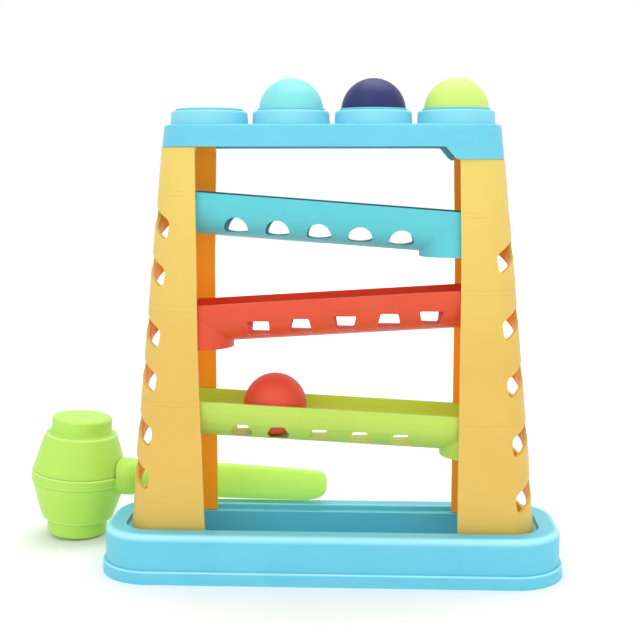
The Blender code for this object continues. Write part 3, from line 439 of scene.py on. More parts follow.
def place_in_mesh():
    """Writes the selected piece's place into its mesh."""
    bpy.ops.object.transform_apply(location=True, rotation=True, scale=True)


def block(name, low, high):
    """A box between two corners, its place in its mesh."""
    nothing_selected()
    low, high = Vector(low), Vector(high)
    bpy.ops.mesh.primitive_cube_add(size=1, location=(low + high) / 2, scale=high - low)
    place_in_mesh()
    piece = bpy.context.object
    piece.name = name
    return piece


def cylinder(radius, depth, centre):
    """An upright cylinder, its place in its mesh."""
    nothing_selected()
    bpy.ops.mesh.primitive_cylinder_add(
        vertices=ROUND_SIDES, radius=radius, depth=depth, location=centre
    )
    place_in_mesh()
    return bpy.context.object


def move(piece, offset):
    piece.data.transform(Matrix.Translation(offset))
    return piece


# %% Modifiers, applied at once
SHARP = math.radians(38)


def apply(piece, kind, **values):
    make_active(piece)
    modifier = piece.modifiers.new(kind.lower(), kind)
    for key, value in values.items():
        setattr(modifier, key, value)
    bpy.ops.object.modifier_apply(modifier=modifier.name)


def wall(piece, thickness):
    apply(
        piece, "SOLIDIFY", thickness=thickness, offset=-1,
        use_even_offset=True, use_quality_normals=True,
    )


def combine(piece, tools, operation):
    """Adds or cuts with each tool in turn, and puts the tool away."""
    for tool in tools:
        apply(piece, "BOOLEAN", operation=operation, object=tool, solver="EXACT")
        bpy.data.objects.remove(tool)


def ease_edges(piece, width):
    """Rounds every edge that turns sharply by a hair."""
    apply(
        piece, "BEVEL", width=width, segments=2, limit_method="ANGLE",
        angle_limit=SHARP, use_clamp_overlap=True, harden_normals=False,
    )


# %% Marking where light and shade are painted
def share_of(value, start, length):
    """How far the value has come along a stretch, from 0 to 1."""
    return min(max((value - start) / length, 0), 1)


def mark_painted_light(piece, test):
    """Writes what the test says of each face, from 0 to 1, as the mask of painted light and shade
    that the plastic reads.
    """
    # The attribute keeps the name inside, but holds painted light and shade, on the handle too.
    mark = piece.data.attributes.new("inside", "FLOAT", "FACE")
    count = 0
    for face, value in zip(piece.data.polygons, mark.data):
        value.value = float(test(face.center, face.normal))
        count += value.value > 0
    print(piece.name, "inner faces", count)


# %% Painted highlights on the eased edges
EDGE_WIDTH, HIGHLIGHT_SHARE = 0.0004, 0.6
SEAM_LENGTH, SEAM_FLATNESS = 0.05, 0.3


def mark_edge_highlights(piece, widest=EDGE_WIDTH, strength=HIGHLIGHT_SHARE):
    """Writes a painted highlight on the narrow faces of eased edges. Long mould lines are left out.
    On a rim, whose faces are wider, the painted highlight is highest where it turns from up to out."""
    mark = piece.data.attributes.new("edge", "FLOAT", "FACE")
    mesh = piece.data
    rim = widest > EDGE_WIDTH
    for face, value in zip(mesh.polygons, mark.data):
        sides = [(mesh.vertices[a].co - mesh.vertices[b].co).length for a, b in face.edge_keys]
        seam = not rim and max(sides) > SEAM_LENGTH and abs(face.normal.z) < SEAM_FLATNESS
        if face.area < widest * sum(sides) / 2 and not seam:
            turn = 2 * face.normal.z * math.sqrt(max(1 - face.normal.z**2, 0)) if rim else 1
            value.value = strength * max(turn, 0)


# %% A finished piece
def finish(piece, body, finish_name, material, nodes, angle=35, weigh=True):
    """Smooths the piece, stands it at the tower, hands it to the body, and hides the plain parts it
    dresses.
    """
    make_active(piece)
    piece.location = piece.location + TOWER
    place_in_mesh()
    # Painted highlights on the narrow faces of the eased edges, where the piece has none yet.
    if "edge" not in piece.data.attributes:
        mark_edge_highlights(piece)
    bpy.ops.object.shade_smooth_by_angle(angle=math.radians(angle))
    if weigh:
        apply(piece, "WEIGHTED_NORMAL", mode="FACE_AREA", weight=50, keep_sharp=True)
    piece.data.materials.clear()
    piece.data.materials.append(material)
    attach(piece, body)
    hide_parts(*nodes)
    print(piece.name, len(piece.data.polygons), "faces")


# %% [markdown]
# ## The tray
# A long tray with a thin flange round its foot, a broad rounded rim and a flat trough. By hand it
# is one box: round its four upright edges, then walk its top face in and up, in and down, the way
# the moulding's section goes, with a ledge on the way down that carries the towers. The underside
# is opened, and a Solidify gives it its thin wall.

# %% Tray sizes
TRAY_LENGTH, TRAY_DEPTH, TRAY_CORNER = 0.1688, 0.0510, 0.0385
FLANGE_TOP, FLANGE_STEP = 0.0096, 0.0023
RIM_TOP, RIM_WIDTH = 0.0354, 0.0152
LEDGE_DROP, LEDGE_WIDTH = 0.0040, 0.0062
LEDGE = RIM_TOP - LEDGE_DROP
RIM_INNER = FLANGE_STEP + RIM_WIDTH
TROUGH_EDGE = RIM_INNER + LEDGE_WIDTH
TROUGH_FLOOR, TROUGH_LENGTH, TROUGH_DEPTH = 0.0080, 0.147, 0.029
MOULD_WALL = 0.0022
OUTLINE_SLACK, BELOW_LEDGE = 0.0003, 0.001
SHINE_WIDTH, SHINE_SHARE = 0.0011, 0.9


def in_from_outline(point, length, depth, corner):
    """How far inside the box's rounded outline a point lies, seen from above."""
    across = max(abs(point.x) - (length - corner), 0)
    along = max(abs(point.y) - (depth - corner), 0)
    return corner - math.hypot(across, along)


# %% Tray outline and section
tray = block("moulded_tray", (-TRAY_LENGTH, -TRAY_DEPTH, 0), (TRAY_LENGTH, TRAY_DEPTH, FLANGE_TOP))
edit(tray)
pick("EDGE", upright)
round_off(TRAY_CORNER, 20)
pick("FACE", lambda face: face.normal.z > UP_FACING)
step_in(FLANGE_STEP)
rise(RIM_TOP - FLANGE_TOP)
step_in(RIM_WIDTH)
rise(-LEDGE_DROP)
step_in(LEDGE_WIDTH)
rise(TROUGH_FLOOR - LEDGE)


# %% Tray roundings
def tray_ring(height, inset):
    """Picks the edges of one level of the tray."""
    def test(edge):
        insets = [
            in_from_outline(vert.co, TRAY_LENGTH, TRAY_DEPTH, TRAY_CORNER) for vert in edge.verts
        ]
        return at_height(edge, height) and all(abs(at - inset) < OUTLINE_SLACK for at in insets)
    return pick("EDGE", test)


for name, height, inset, radius, steps in (
    ("flange", FLANGE_TOP, 0, 0.0014, 4),
    ("rim", RIM_TOP, FLANGE_STEP, 0.0050, 8),
    ("rim's inner side", RIM_TOP, RIM_INNER, 0.0012, 4),
    ("ledge", LEDGE, TROUGH_EDGE, 0.0005, 2),
    ("trough", TROUGH_FLOOR, TROUGH_EDGE, 0.0018, 4),
):
    print(name, "edges", tray_ring(height, inset))
    round_off(radius, steps)


# %% Tray wall
def in_trough(centre, normal):
    low = centre.z < LEDGE - BELOW_LEDGE
    return low and abs(centre.x) < TROUGH_LENGTH and abs(centre.y) < TROUGH_DEPTH


pick("FACE", lambda face: face.normal.z < -UP_FACING and at_height(face, 0))
bpy.ops.mesh.delete(type="FACE")
nothing_selected()
wall(tray, MOULD_WALL)
# Painted light: the trough takes the inner colour and glows a little, to lift its shade.
mark_painted_light(tray, in_trough)
# Painted highlight: a pale band along the rim's rounding, strongest where it turns from up to out.
mark_edge_highlights(tray, SHINE_WIDTH, SHINE_SHARE)
finish(tray, "tower", "sky_blue", SKY_BLUE, ["base_tray"])

# %% [markdown]
# ## The side towers
# Each tower is a tall C, open towards the ramps, that narrows upwards. It starts as a box with its
# two outer edges rounded to almost a half circle. The inner, top and bottom faces go, the wall is
# cut into levels, and each level is drawn in for the taper. Its top ring steps in to a spigot for
# the deck, small ribs inside carry the ramps, and slanting windows are cut half way round each
# corner.

# %% Tower sizes
TOWER_DEPTH, TOWER_CORNER, TOWER_EDGE = 0.0310, 0.0240, 0.0910
TOWER_MIDDLE, CORE = 0.1, 0.110
WING_PICK = TOWER_EDGE + 0.0005
WING_REACH, WING_RUN = 0.0020, 0.0872
LEFT_FRONT, LEFT_REACH, LEFT_RUN, LEFT_BACK = 0.0908, 0.0036, 0.130, 0.0016
DECK_BOTTOM, EAR_BOTTOM = 0.3084, 0.2998
WING_WIDENS = 0.2212
TOWER_LEVELS = (
    (LEDGE, 0.1484), (0.0504, 0.1465), (0.0891, 0.1434), (0.1553, 0.1368),
    (WING_WIDENS, 0.1304), (0.2694, 0.1250), (DECK_BOTTOM, 0.1212),
)
GAP, GROOVE, GROOVE_DEPTH = 0.0003, 0.0005, 0.0003
TOWER_FOOT = TOWER_LEVELS[0][1]
SPIGOT_TOP, SPIGOT_INSET, SPIGOT_INNER = 0.3145, 0.0032, 0.0890

# %% Heights of the windows and mould lines
WINDOW_FACING = math.radians(60)
FRONT_DROP, BACK_DROP = 0.0010, 0.0075
WINDOW_OUT, WINDOW_TOOL = 0.0215, 0.019
RIGHT_WINDOWS = (0.2315, 0.1843, 0.1432, 0.1002, 0.0591)
LEFT_WINDOWS = (0.2546, 0.2210, 0.1774, 0.1453, 0.1053, 0.0732)
RIGHT_GROOVES = (0.2630, 0.2596, 0.2090, 0.2055, 0.1125)
LEFT_GROOVES = (0.2775, 0.2743, 0.1973, 0.1930, 0.1284, 0.1248)


def tower_outer(height):
    """How far out the tower's end face lies at a height."""
    for (low, low_out), (high, high_out) in zip(TOWER_LEVELS, TOWER_LEVELS[1:]):
        if height <= high:
            break
    return low_out + (high_out - low_out) * (height - low) / (high - low)


def plain_edge(height):
    """Where a wing ends: it reaches a little further in near the deck."""
    return TOWER_EDGE - WING_REACH * share_of(height, WING_WIDENS, WING_RUN)


def front_left_edge(height):
    """The left tower's front wing gets narrower over its lower part."""
    return LEFT_FRONT + LEFT_REACH * share_of(height, LEDGE, LEFT_RUN)


def back_left_edge(height):
    """Its back wing is wider, and shows beyond the front one."""
    return plain_edge(height) - LEFT_BACK


print("outer face at the deck", round(tower_outer(DECK_BOTTOM), 4))

# %% [markdown]
# Windows, channels and other cut forms start as flat outlines. A flat curve closed and filled gives
# the outline a thickness, and a matrix carries it to its place.


# %% Flat outlines for the windows and other cut shapes
def flat_outline(name, points, thickness, place):
    """A flat outline made solid, carried to its place by a matrix."""
    curve = bpy.data.curves.new(name, "CURVE")
    curve.dimensions = "2D"
    curve.fill_mode = "BOTH"
    curve.extrude = thickness / 2
    line = curve.splines.new("POLY")
    line.points.add(len(points) - 1)
    for spot, (x, y) in zip(line.points, points):
        spot.co = (x, y, 0, 1)
    line.use_cyclic_u = True
    shape = bpy.data.objects.new(name, curve)
    bpy.context.scene.collection.objects.link(shape)
    make_active(shape)
    bpy.ops.object.convert(target="MESH")
    shape = bpy.context.object
    shape.data.transform(place)
    edit(shape)
    merge_points()
    face_outwards()
    nothing_selected()
    return shape


def softened(points, radius, steps=6):
    """The outline with each corner drawn as a short curve."""
    result = []
    for number, corner in enumerate(points):
        here = Vector(corner)
        back = (Vector(points[number - 1]) - here).normalized() * radius
        on = (Vector(points[(number + 1) % len(points)]) - here).normalized() * radius
        for step in range(steps + 1):
            t = step / steps
            spot = here + back * (1 - t) ** 2 + on * t**2
            result.append((spot.x, spot.y))
    return result


UPRIGHT = Matrix.Rotation(math.pi / 2, 4, "X")
WINDOW = softened(
    ((-0.0140, 0.0034), (-0.0120, -0.0108), (0.0152, 0.0042), (0.0152, 0.0197)), 0.0045
)


# %% A window tool
def window_tool(height, side, face):
    """side is 1 on the right tower, face is -1 at the front. The back windows lie upside down."""
    level = height - (FRONT_DROP if face < 0 else BACK_DROP)
    out = Vector((math.sin(WINDOW_FACING) * side, math.cos(WINDOW_FACING) * face, 0))
    along = Vector((math.cos(WINDOW_FACING) * side, -math.sin(WINDOW_FACING) * face, 0))
    x, y = tower_outer(level) - TOWER_CORNER, TOWER_DEPTH - TOWER_CORNER
    place = Matrix((along, (0, 0, 1), out)).transposed().to_4x4()
    place.translation = Vector((x * side, y * face, level)) + out * WINDOW_OUT
    outline = [(x, -y * face) for x, y in WINDOW]
    return flat_outline("window_tool", outline, WINDOW_TOOL, place)


# %% Shaping a tower
def at_level(height, test):
    """Picks the points of one level that pass the test."""
    return pick("VERT", lambda vert: abs(vert.co.z - height) < LEVEL_SLACK and test(vert.co))


def slide(distance):
    bpy.ops.transform.translate(value=(distance, 0, 0))


def shape_level(height, front_edge, back_edge):
    """Draws one level in to the tower's taper and sets where its two wings end."""
    at_level(height, lambda point: point.x > TOWER_MIDDLE)
    slide(tower_outer(height) - TOWER_FOOT)
    for face, wing_edge in ((-1, front_edge), (1, back_edge)):
        at_level(height, lambda point: point.x < WING_PICK and point.y * face > 0)
        slide(wing_edge(height) - TOWER_EDGE)


def tower_shell(name, shoulder, front_edge, back_edge, grooves):
    """The right tower's wall, cut into levels that are then drawn in."""
    foot = LEDGE + GAP
    shell = block(name, (TOWER_EDGE, -TOWER_DEPTH, foot), (TOWER_FOOT, TOWER_DEPTH, shoulder))
    edit(shell)
    pick("EDGE", lambda edge: upright(edge) and middle(edge).x > TOWER_MIDDLE)
    round_off(TOWER_CORNER, 20)
    pick("FACE", lambda face: face.normal.x < -UP_FACING or abs(face.normal.z) > UP_FACING)
    bpy.ops.mesh.delete(type="FACE")
    heights = [height for height, outer in TOWER_LEVELS[1:-1]]
    heights += [line + side for line in grooves for side in (-GROOVE, 0, GROOVE)]
    for height in heights:
        select_all()
        bpy.ops.mesh.bisect(plane_co=(0, 0, height), plane_no=(0, 0, 1))
    for height in (foot, *heights, shoulder):
        shape_level(height, front_edge, back_edge)
    for line in grooves:
        at_level(line, lambda point: True)
        bpy.ops.transform.shrink_fatten(value=-GROOVE_DEPTH)
    nothing_selected()
    return shell


# %% The spigot that plugs into the deck
def add_spigot(shell, shoulder):
    """Steps the top ring in and carries it up into the deck."""
    edit(shell)
    pick("EDGE", lambda edge: at_height(edge, shoulder))
    rise(0)
    half = tower_outer(shoulder) - SPIGOT_INNER
    shorter = (half - SPIGOT_INSET) / half
    narrower = (TOWER_DEPTH - SPIGOT_INSET) / TOWER_DEPTH
    centre = (SPIGOT_INNER, 0, shoulder)
    bpy.ops.transform.resize(value=(shorter, narrower, 1), center_override=centre)
    rise(SPIGOT_TOP - shoulder)
    nothing_selected()


# %% Where the ramps lie, and what carries them
# The upper edge's height over the tower's middle and its slope, the centres of the high round end
# and of the low drop tube, the tube's foot, and the channel's depth.
RAMPS = {
    name: dict(zip(("top", "slope", "high", "low", "foot", "depth"), sizes))
    for name, sizes in (
        ("upper", (0.2699, -0.0750, -0.0910, 0.0892, 0.2313, 0.0302)),
        ("middle", (0.2027, 0.0621, 0.0969, -0.0985, 0.1647, 0.0290)),
        ("lower", (0.1229, -0.0523, -0.1062, 0.1058, 0.0855, 0.0290)),
    )
}
REST_NEAR, REST_FAR = 0.0947, 0.0990
RIB = {"inner": 0.0273, "outer": 0.0296, "low": -0.0117, "high": -0.0093}
LUG = {"inner": 0.0250, "outer": 0.0285, "low": -0.0090, "high": -0.0060}


def ramp_edge(ramp, x):
    """The height of the ramp's upper edge."""
    return ramp["top"] + ramp["slope"] * x


def small_blocks(ramp, sides, inner, outer, low, high):
    """Blocks near the ramp's ends, front and back, level with a height below the ramp's edge."""
    blocks = []
    for side in sides:
        level = ramp_edge(ramp, (REST_NEAR + REST_FAR) / 2 * side)
        left, right = sorted((REST_NEAR * side, REST_FAR * side))
        for face in (-1, 1):
            front, back = sorted((inner * face, outer * face))
            corners = (left, front, level + low), (right, back, level + high)
            blocks.append(block("small_block", *corners))
    return blocks


# %% Both towers
def faces_in(centre, normal):
    """True on the side of the wall that faces the ramps."""
    core = math.copysign(min(abs(centre.x), CORE), centre.x)
    outwards = Vector((centre.x - core, centre.y, 0))
    return normal.dot(outwards.normalized()) < -0.5


TOWER_EASE = 0.0005
FINE_ANGLE = 20


def side_tower(name, node, side, windows, grooves, shoulder, edges):
    """side is 1 for the right tower. The left one is mirrored after its wall is made."""
    shell = tower_shell(name, shoulder, *edges, grooves)
    add_spigot(shell, shoulder)
    wall(shell, MOULD_WALL)
    if side < 0:
        edit(shell)
        select_all()
        bpy.ops.transform.mirror(constraint_axis=(True, False, False), center_override=(0, 0, 0))
        bpy.ops.mesh.flip_normals()
        nothing_selected()
    for ramp in RAMPS.values():
        combine(shell, small_blocks(ramp, (side,), **RIB), "UNION")
    tools = [window_tool(height, side, face) for height in windows for face in (-1, 1)]
    combine(shell, tools, "DIFFERENCE")
    ease_edges(shell, TOWER_EASE)
    # Painted light: the inner side takes the orange inner colour and glows, for light bounced
    # inside the tower and shining through its wall.
    mark_painted_light(shell, faces_in)
    finish(shell, "tower", "yellow", YELLOW, [node], FINE_ANGLE, False)


side_tower(
    "moulded_left_tower", "left_pillar", -1, LEFT_WINDOWS, LEFT_GROOVES, DECK_BOTTOM - GAP,
    (front_left_edge, back_left_edge),
)
side_tower(
    "moulded_right_tower", "right_pillar", 1, RIGHT_WINDOWS, RIGHT_GROOVES, EAR_BOTTOM - GAP,
    (plain_edge, plain_edge),
)

# %% [markdown]
# ## The deck
# A hollow cap with four round collars. The box is rounded like the tray, its top drawn in a little,
# and its top edge softened. A curved tool clears the skirt everywhere except under the deeper end
# on the right. The top is bored, and the turned collars are joined on.

# %% Deck sizes
DECK_LENGTH, DECK_DEPTH, DECK_TOP, DECK_CORNER = 0.1215, 0.0335, 0.3239, 0.0255
DECK_WALL, DECK_ROUND, DECK_EASE = 0.0024, 0.0020, 0.0003
TOP_DRAWN_IN_X, TOP_DRAWN_IN_Y = 0.0026, 0.0020
EAR_START, EAR_RUN, EAR_DROP = 0.0780, 0.0088, 0.0086
EAR_CURVE = ((0, 0), (0.19, 0.09), (0.34, 0.30), (0.62, 0.63), (0.77, 0.83), (1, 0.95))
SOCKET_PITCH, DECK_BORE, BORE_DEPTH = 0.05865, 0.0258, 0.03
SOCKETS = [(number - 1.5) * SOCKET_PITCH for number in range(4)]
COLLAR_FOOT, COLLAR_HEAD, COLLAR_TOP, COLLAR_ROUND = 0.0279, 0.0273, 0.3340, 0.0021
COLLAR_BORE, COLLAR_PLUG, COLLAR_BASE, COLLAR_STEP = 0.0244, 0.0272, 0.3170, 0.0002

# %% Deck cap
deck_low, deck_high = (-DECK_LENGTH, -DECK_DEPTH, EAR_BOTTOM), (DECK_LENGTH, DECK_DEPTH, DECK_TOP)
deck = block("moulded_deck", deck_low, deck_high)
edit(deck)
pick("EDGE", upright)
round_off(DECK_CORNER, 18)
at_level(DECK_TOP, lambda point: True)
shorter = (DECK_LENGTH - TOP_DRAWN_IN_X) / DECK_LENGTH
narrower = (DECK_DEPTH - TOP_DRAWN_IN_Y) / DECK_DEPTH
bpy.ops.transform.resize(value=(shorter, narrower, 1), center_override=(0, 0, DECK_TOP))
pick("EDGE", lambda edge: at_height(edge, DECK_TOP))
round_off(DECK_ROUND, 6)
pick("FACE", lambda face: face.normal.z < -UP_FACING)
bpy.ops.mesh.delete(type="FACE")
nothing_selected()
wall(deck, DECK_WALL)

# %% The skirt's lower edge
RELIEF_LEFT, RELIEF_RIGHT, RELIEF_LOW = -0.140, 0.0868, 0.280
RELIEF_THICK, RELIEF_SOFT = 0.080, 0.0008

curve = [(EAR_START + EAR_RUN * x, DECK_BOTTOM - EAR_DROP * z) for x, z in EAR_CURVE]
corners = [(RELIEF_LEFT, RELIEF_LOW), (RELIEF_RIGHT, RELIEF_LOW), *reversed(curve)]
corners.append((RELIEF_LEFT, DECK_BOTTOM))
relief = flat_outline("relief", softened(corners, RELIEF_SOFT, 3), RELIEF_THICK, UPRIGHT)
combine(deck, [relief], "DIFFERENCE")


# %% [markdown]
# Round pieces are turned: a circle is carried from station to station, each a radius and a height,
# and scaled on the way.


# %% Turning a round piece
END_MERGE = 0.0003


def turned(name, stations, around=ROUND_SIDES):
    """Starts as a circle, extruded from each (radius, height) station to the next."""
    nothing_selected()
    radius, height = stations[0]
    bpy.ops.mesh.primitive_circle_add(vertices=around, radius=radius, location=(0, 0, height))
    piece = bpy.context.object
    piece.name = name
    place_in_mesh()
    edit(piece)
    bpy.ops.mesh.select_mode(type="VERT")
    select_all()
    for next_radius, next_height in stations[1:]:
        rise(next_height - height)
        size = next_radius / radius
        bpy.ops.transform.resize(value=(size, size, 1), center_override=(0, 0, next_height))
        radius, height = next_radius, next_height
    nothing_selected()
    return piece


def close_turned(piece, joined):
    """Merges the ends of a closed section, or closes the two ends, and faces all outwards."""
    edit(piece)
    merge_points(MERGE if joined else END_MERGE)
    if not joined:
        select_all()
        bpy.ops.mesh.fill_holes(sides=0)
    face_outwards()
    nothing_selected()
    return piece


def quarter(radius, centre_radius, centre_height, start, end, steps=6):
    """Stations along part of a circle in the section."""
    found = []
    for step in range(steps + 1):
        angle = math.radians(start + (end - start) * step / steps)
        out, up = radius * math.cos(angle), radius * math.sin(angle)
        found.append((centre_radius + out, centre_height + up))
    return found


# %% Collars and bores
def collar(x):
    """A round collar with a rim, and a plug that goes down through the deck."""
    base = DECK_TOP - DECK_WALL / 2
    crown = quarter(
        COLLAR_ROUND, COLLAR_HEAD - COLLAR_ROUND, COLLAR_TOP - COLLAR_ROUND, 0, 88
    )
    stations = [
        (COLLAR_PLUG, COLLAR_BASE), (COLLAR_PLUG, base), (COLLAR_FOOT, base + COLLAR_STEP), *crown,
        (COLLAR_BORE, COLLAR_TOP), (COLLAR_BORE, COLLAR_BASE), (COLLAR_PLUG, COLLAR_BASE),
    ]
    return move(close_turned(turned("collar", stations), True), (x, 0, 0))


combine(deck, [cylinder(DECK_BORE, BORE_DEPTH, (x, 0, DECK_TOP)) for x in SOCKETS], "DIFFERENCE")
combine(deck, [collar(x) for x in SOCKETS], "UNION")

# %% The deck's painted edge highlights, with a share of their pale colour on the collars, so
# the collars are a little paler than its top
COLLAR_SHARE, ABOVE_DECK = 0.35, 0.0004

ease_edges(deck, DECK_EASE)
mark_edge_highlights(deck)
for face, value in zip(deck.data.polygons, deck.data.attributes["edge"].data):
    if face.center.z > DECK_TOP + ABOVE_DECK:
        value.value = max(value.value, COLLAR_SHARE)
finish(deck, "tower", "sky_blue", SKY_BLUE, ["top_deck"], FINE_ANGLE, False)

# %% [markdown]
# ## The soft rings
# A thin ring in each collar holds the ball until it is struck. Its top lip stands just above the
# collar, and a flange below keeps it from pulling out.

# %% Rings
RING_IN, RING_OUT, FLANGE_OUT = 0.0234, 0.0241, 0.0268
LIP = (0.0236, 0.3354)
FLANGE_HIGH, FLANGE_LOW, RING_LOW = 0.3167, 0.3151, 0.3110
RING = [
    LIP, *quarter(0.0003, 0.0238, 0.3351, 80, 0, 3), (RING_OUT, FLANGE_HIGH),
    (FLANGE_OUT, FLANGE_HIGH), (FLANGE_OUT, FLANGE_LOW), (RING_OUT, FLANGE_LOW),
    (RING_OUT, RING_LOW), (RING_IN, RING_LOW), (RING_IN, 0.3352), LIP,
]

for number, x in enumerate(SOCKETS, 1):
    ring = move(close_turned(turned(f"soft_ring_{number}", RING), True), (x, 0, 0))
    finish(ring, "tower", "soft_blue", SOFT_BLUE, [f"socket_ring_{number}"])

# %% [markdown]
# ## The ramps
# Each ramp is a half round channel, closed by a round end at the top and by a drop tube at the
# bottom, and pierced by a row of windows. The outer form and the hollow are both flat outlines
# given length, so the wall between them stays even. Small lugs on its sides stand on ribs inside
# the towers. Each wall is cut for itself, and a line of sight through every window shows that it is
# open.

# %% Ramp sizes
RAMP_HALF, RAMP_WALL, RAMP_SIDE = 0.0270, 0.0022, 0.0022
TUBE_OUTER, TUBE_INNER, TUBE_DROP = 0.0266, 0.0247, 0.0030
CHANNEL_LENGTH, CHANNEL_SLACK, HOLLOW_ABOVE, HOLLOW_BELOW = 0.42, 0.0003, 0.03, 0.01
PLAN_HEIGHT, RAMP_EASE = 0.2, 0.0004
SIDE_MIDDLE, SIDE_TOOL = 0.025, 0.04
SECTION_STEPS, END_STEPS, MOON_STEPS = 40, 48, 46

# %% Ramp section and plan
def channel_outline(half, depth, above):
    """A channel's section, from half its width, its depth and how far its sides go up."""
    points = [(-half, above)]
    for step in range(SECTION_STEPS + 1):
        angle = math.pi + math.pi * step / SECTION_STEPS
        points.append((half * math.cos(angle), -RAMP_SIDE + (depth - RAMP_SIDE) * math.sin(angle)))
    points.append((half, above))
    return points


def channel(name, ramp, half, depth, above):
    """The section given length along the ramp's slope."""
    lean = math.atan(ramp["slope"])
    along = Vector((math.cos(lean), 0, math.sin(lean)))
    up = Vector((-math.sin(lean), 0, math.cos(lean)))
    place = Matrix(((0, 1, 0), up, along)).transposed().to_4x4()
    place.translation = (0, 0, ramp["top"])
    return flat_outline(name, channel_outline(half, depth, above), CHANNEL_LENGTH, place)


def plan(ramp, radius):
    """The ramp from above: a long strip with two round ends."""
    right, left = max(ramp["low"], ramp["high"]), min(ramp["low"], ramp["high"])
    points = []
    for centre, start in ((right, -90), (left, 90)):
        for step in range(END_STEPS + 1):
            angle = math.radians(start + 180 * step / END_STEPS)
            points.append((centre + radius * math.cos(angle), radius * math.sin(angle)))
    return flat_outline("plan", points, PLAN_HEIGHT, Matrix.Translation((0, 0, ramp["top"])))


def tube(ramp, radius, foot, top):
    """The drop tube at the ramp's low end, or its bore."""
    return cylinder(radius, top - foot, (ramp["low"], 0, (foot + top) / 2))


# %% Shaping a ramp
def see_through(piece, outlines):
    """Counts the windows that a level line of sight passes through, front and back."""
    clear = 0
    for outline in outlines:
        x, z = (sum(values) / len(outline) for values in zip(*outline))
        clear += not piece.ray_cast(Vector((x, -0.1, z)), Vector((0, 1, 0)))[0]
    return clear


def tube_top(ramp):
    return ramp_edge(ramp, ramp["low"]) - TUBE_DROP


def solid_ramp(name, ramp):
    """The outer form: a channel cut to its plan, with its drop tube."""
    body = channel(name, ramp, RAMP_HALF + CHANNEL_SLACK, ramp["depth"], 0)
    combine(body, [plan(ramp, RAMP_HALF)], "INTERSECT")
    combine(body, [tube(ramp, TUBE_OUTER, ramp["foot"], tube_top(ramp))], "UNION")
    return body


def hollow_of(ramp):
    """The same form one wall smaller, open above."""
    half = RAMP_HALF - RAMP_WALL
    hollow = channel("hollow", ramp, half + CHANNEL_SLACK, ramp["depth"] - RAMP_WALL, HOLLOW_ABOVE)
    combine(hollow, [plan(ramp, half)], "INTERSECT")
    return hollow


def shaped_ramp(name, ramp, windows):
    body = solid_ramp(name, ramp)
    tube_hole = tube(ramp, TUBE_INNER, ramp["foot"] - HOLLOW_BELOW, tube_top(ramp))
    combine(body, [hollow_of(ramp), tube_hole], "DIFFERENCE")
    for side in (-SIDE_MIDDLE, SIDE_MIDDLE):
        turn = Matrix.Translation((0, side, 0)) @ UPRIGHT
        tools = [flat_outline("window", outline, SIDE_TOOL, turn) for outline in windows]
        combine(body, tools, "DIFFERENCE")
    combine(body, small_blocks(ramp, (-1, 1), **LUG), "UNION")
    print(name, "windows open", see_through(body, windows), "of", len(windows))
    return body


# %% Window outlines of the three ramps
MOON_DROP, MOON_HALF, MOON_ARCH, MOON_BELLY = 0.02495, 0.0088, 0.0092, 0.0020
SLOT_LOW, SLOT_HIGH, SLOT_SOFT = 0.0250, 0.0137, 0.0014
GEM_LOW, GEM_WAIST, GEM_HIGH, GEM_SOFT = 0.0260, 0.0220, 0.0160, 0.0010
GEM_FOOT_HALF, GEM_HALF, GEM_TOP_HALF = 0.0066, 0.0081, 0.0047
NARROW, WIDE, EVEN = 0.0062, 0.0086, 0.0078


def half_moon(x):
    """A full arch over a shallow one, on the upper ramp."""
    level = ramp_edge(RAMPS["upper"], x) - MOON_DROP
    points = []
    for step in range(MOON_STEPS):
        turn = math.radians(360 * (step + 0.5) / MOON_STEPS)
        arch = MOON_ARCH if turn < math.pi else MOON_BELLY
        points.append((x + MOON_HALF * math.cos(turn), level + arch * math.sin(turn)))
    return points


def slot(x, low_half, top_half):
    """A four sided opening on the middle ramp."""
    edge = ramp_edge(RAMPS["middle"], x)
    low, high = edge - SLOT_LOW, edge - SLOT_HIGH
    points = ((x - low_half, low), (x + low_half, low), (x + top_half, high), (x - top_half, high))
    return softened(points, SLOT_SOFT)


def gem(x):
    """A six sided opening on the lower ramp."""
    edge = ramp_edge(RAMPS["lower"], x)
    low, waist, high = edge - GEM_LOW, edge - GEM_WAIST, edge - GEM_HIGH
    points = (
        (x - GEM_FOOT_HALF, low), (x + GEM_FOOT_HALF, low), (x + GEM_HALF, waist),
        (x + GEM_TOP_HALF, high), (x - GEM_TOP_HALF, high), (x - GEM_HALF, waist),
    )
    return softened(points, GEM_SOFT, 3)


MOONS = [half_moon(x) for x in (-0.0679, -0.0384, -0.0089, 0.0204, 0.0497)]
SLOTS = [
    slot(-0.0519, EVEN, EVEN), slot(-0.0220, WIDE, NARROW), slot(0.0099, NARROW, WIDE),
    slot(0.0414, WIDE, NARROW), slot(0.0713, NARROW, WIDE),
]
GEMS = [gem(x) for x in (-0.0649, -0.0383, -0.0084, 0.0207, 0.0503)]

# %% The three ramps
ACROSS, BOTTOM_HALF = -0.00002, 0.004


def in_channel(centre, normal):
    """True on the faces that look across the channel, not on the flat of its bottom."""
    return normal.y * centre.y < ACROSS and abs(centre.y) > BOTTOM_HALF


for key, openings, slot_name, colour in (
    ("upper", MOONS, "pale_blue", PALE_BLUE),
    ("middle", SLOTS, "red", RED),
    ("lower", GEMS, "lime", LIME),
):
    ramp = shaped_ramp(f"moulded_{key}_ramp", RAMPS[key], openings)
    ease_edges(ramp, RAMP_EASE)
    # Painted light and shade: the faces across each channel take its plastic's inner colour.
    mark_painted_light(ramp, in_channel)
    finish(ramp, "tower", slot_name, colour, [key + "_ramp"], FINE_ANGLE, False)

# %% [markdown]
# ## The balls
# Blow moulded balls with the faint line where the mould's halves met. The ring of edges round a
# sphere's middle is bevelled to a narrow strip, and the strip's own middle is drawn in by a hair.


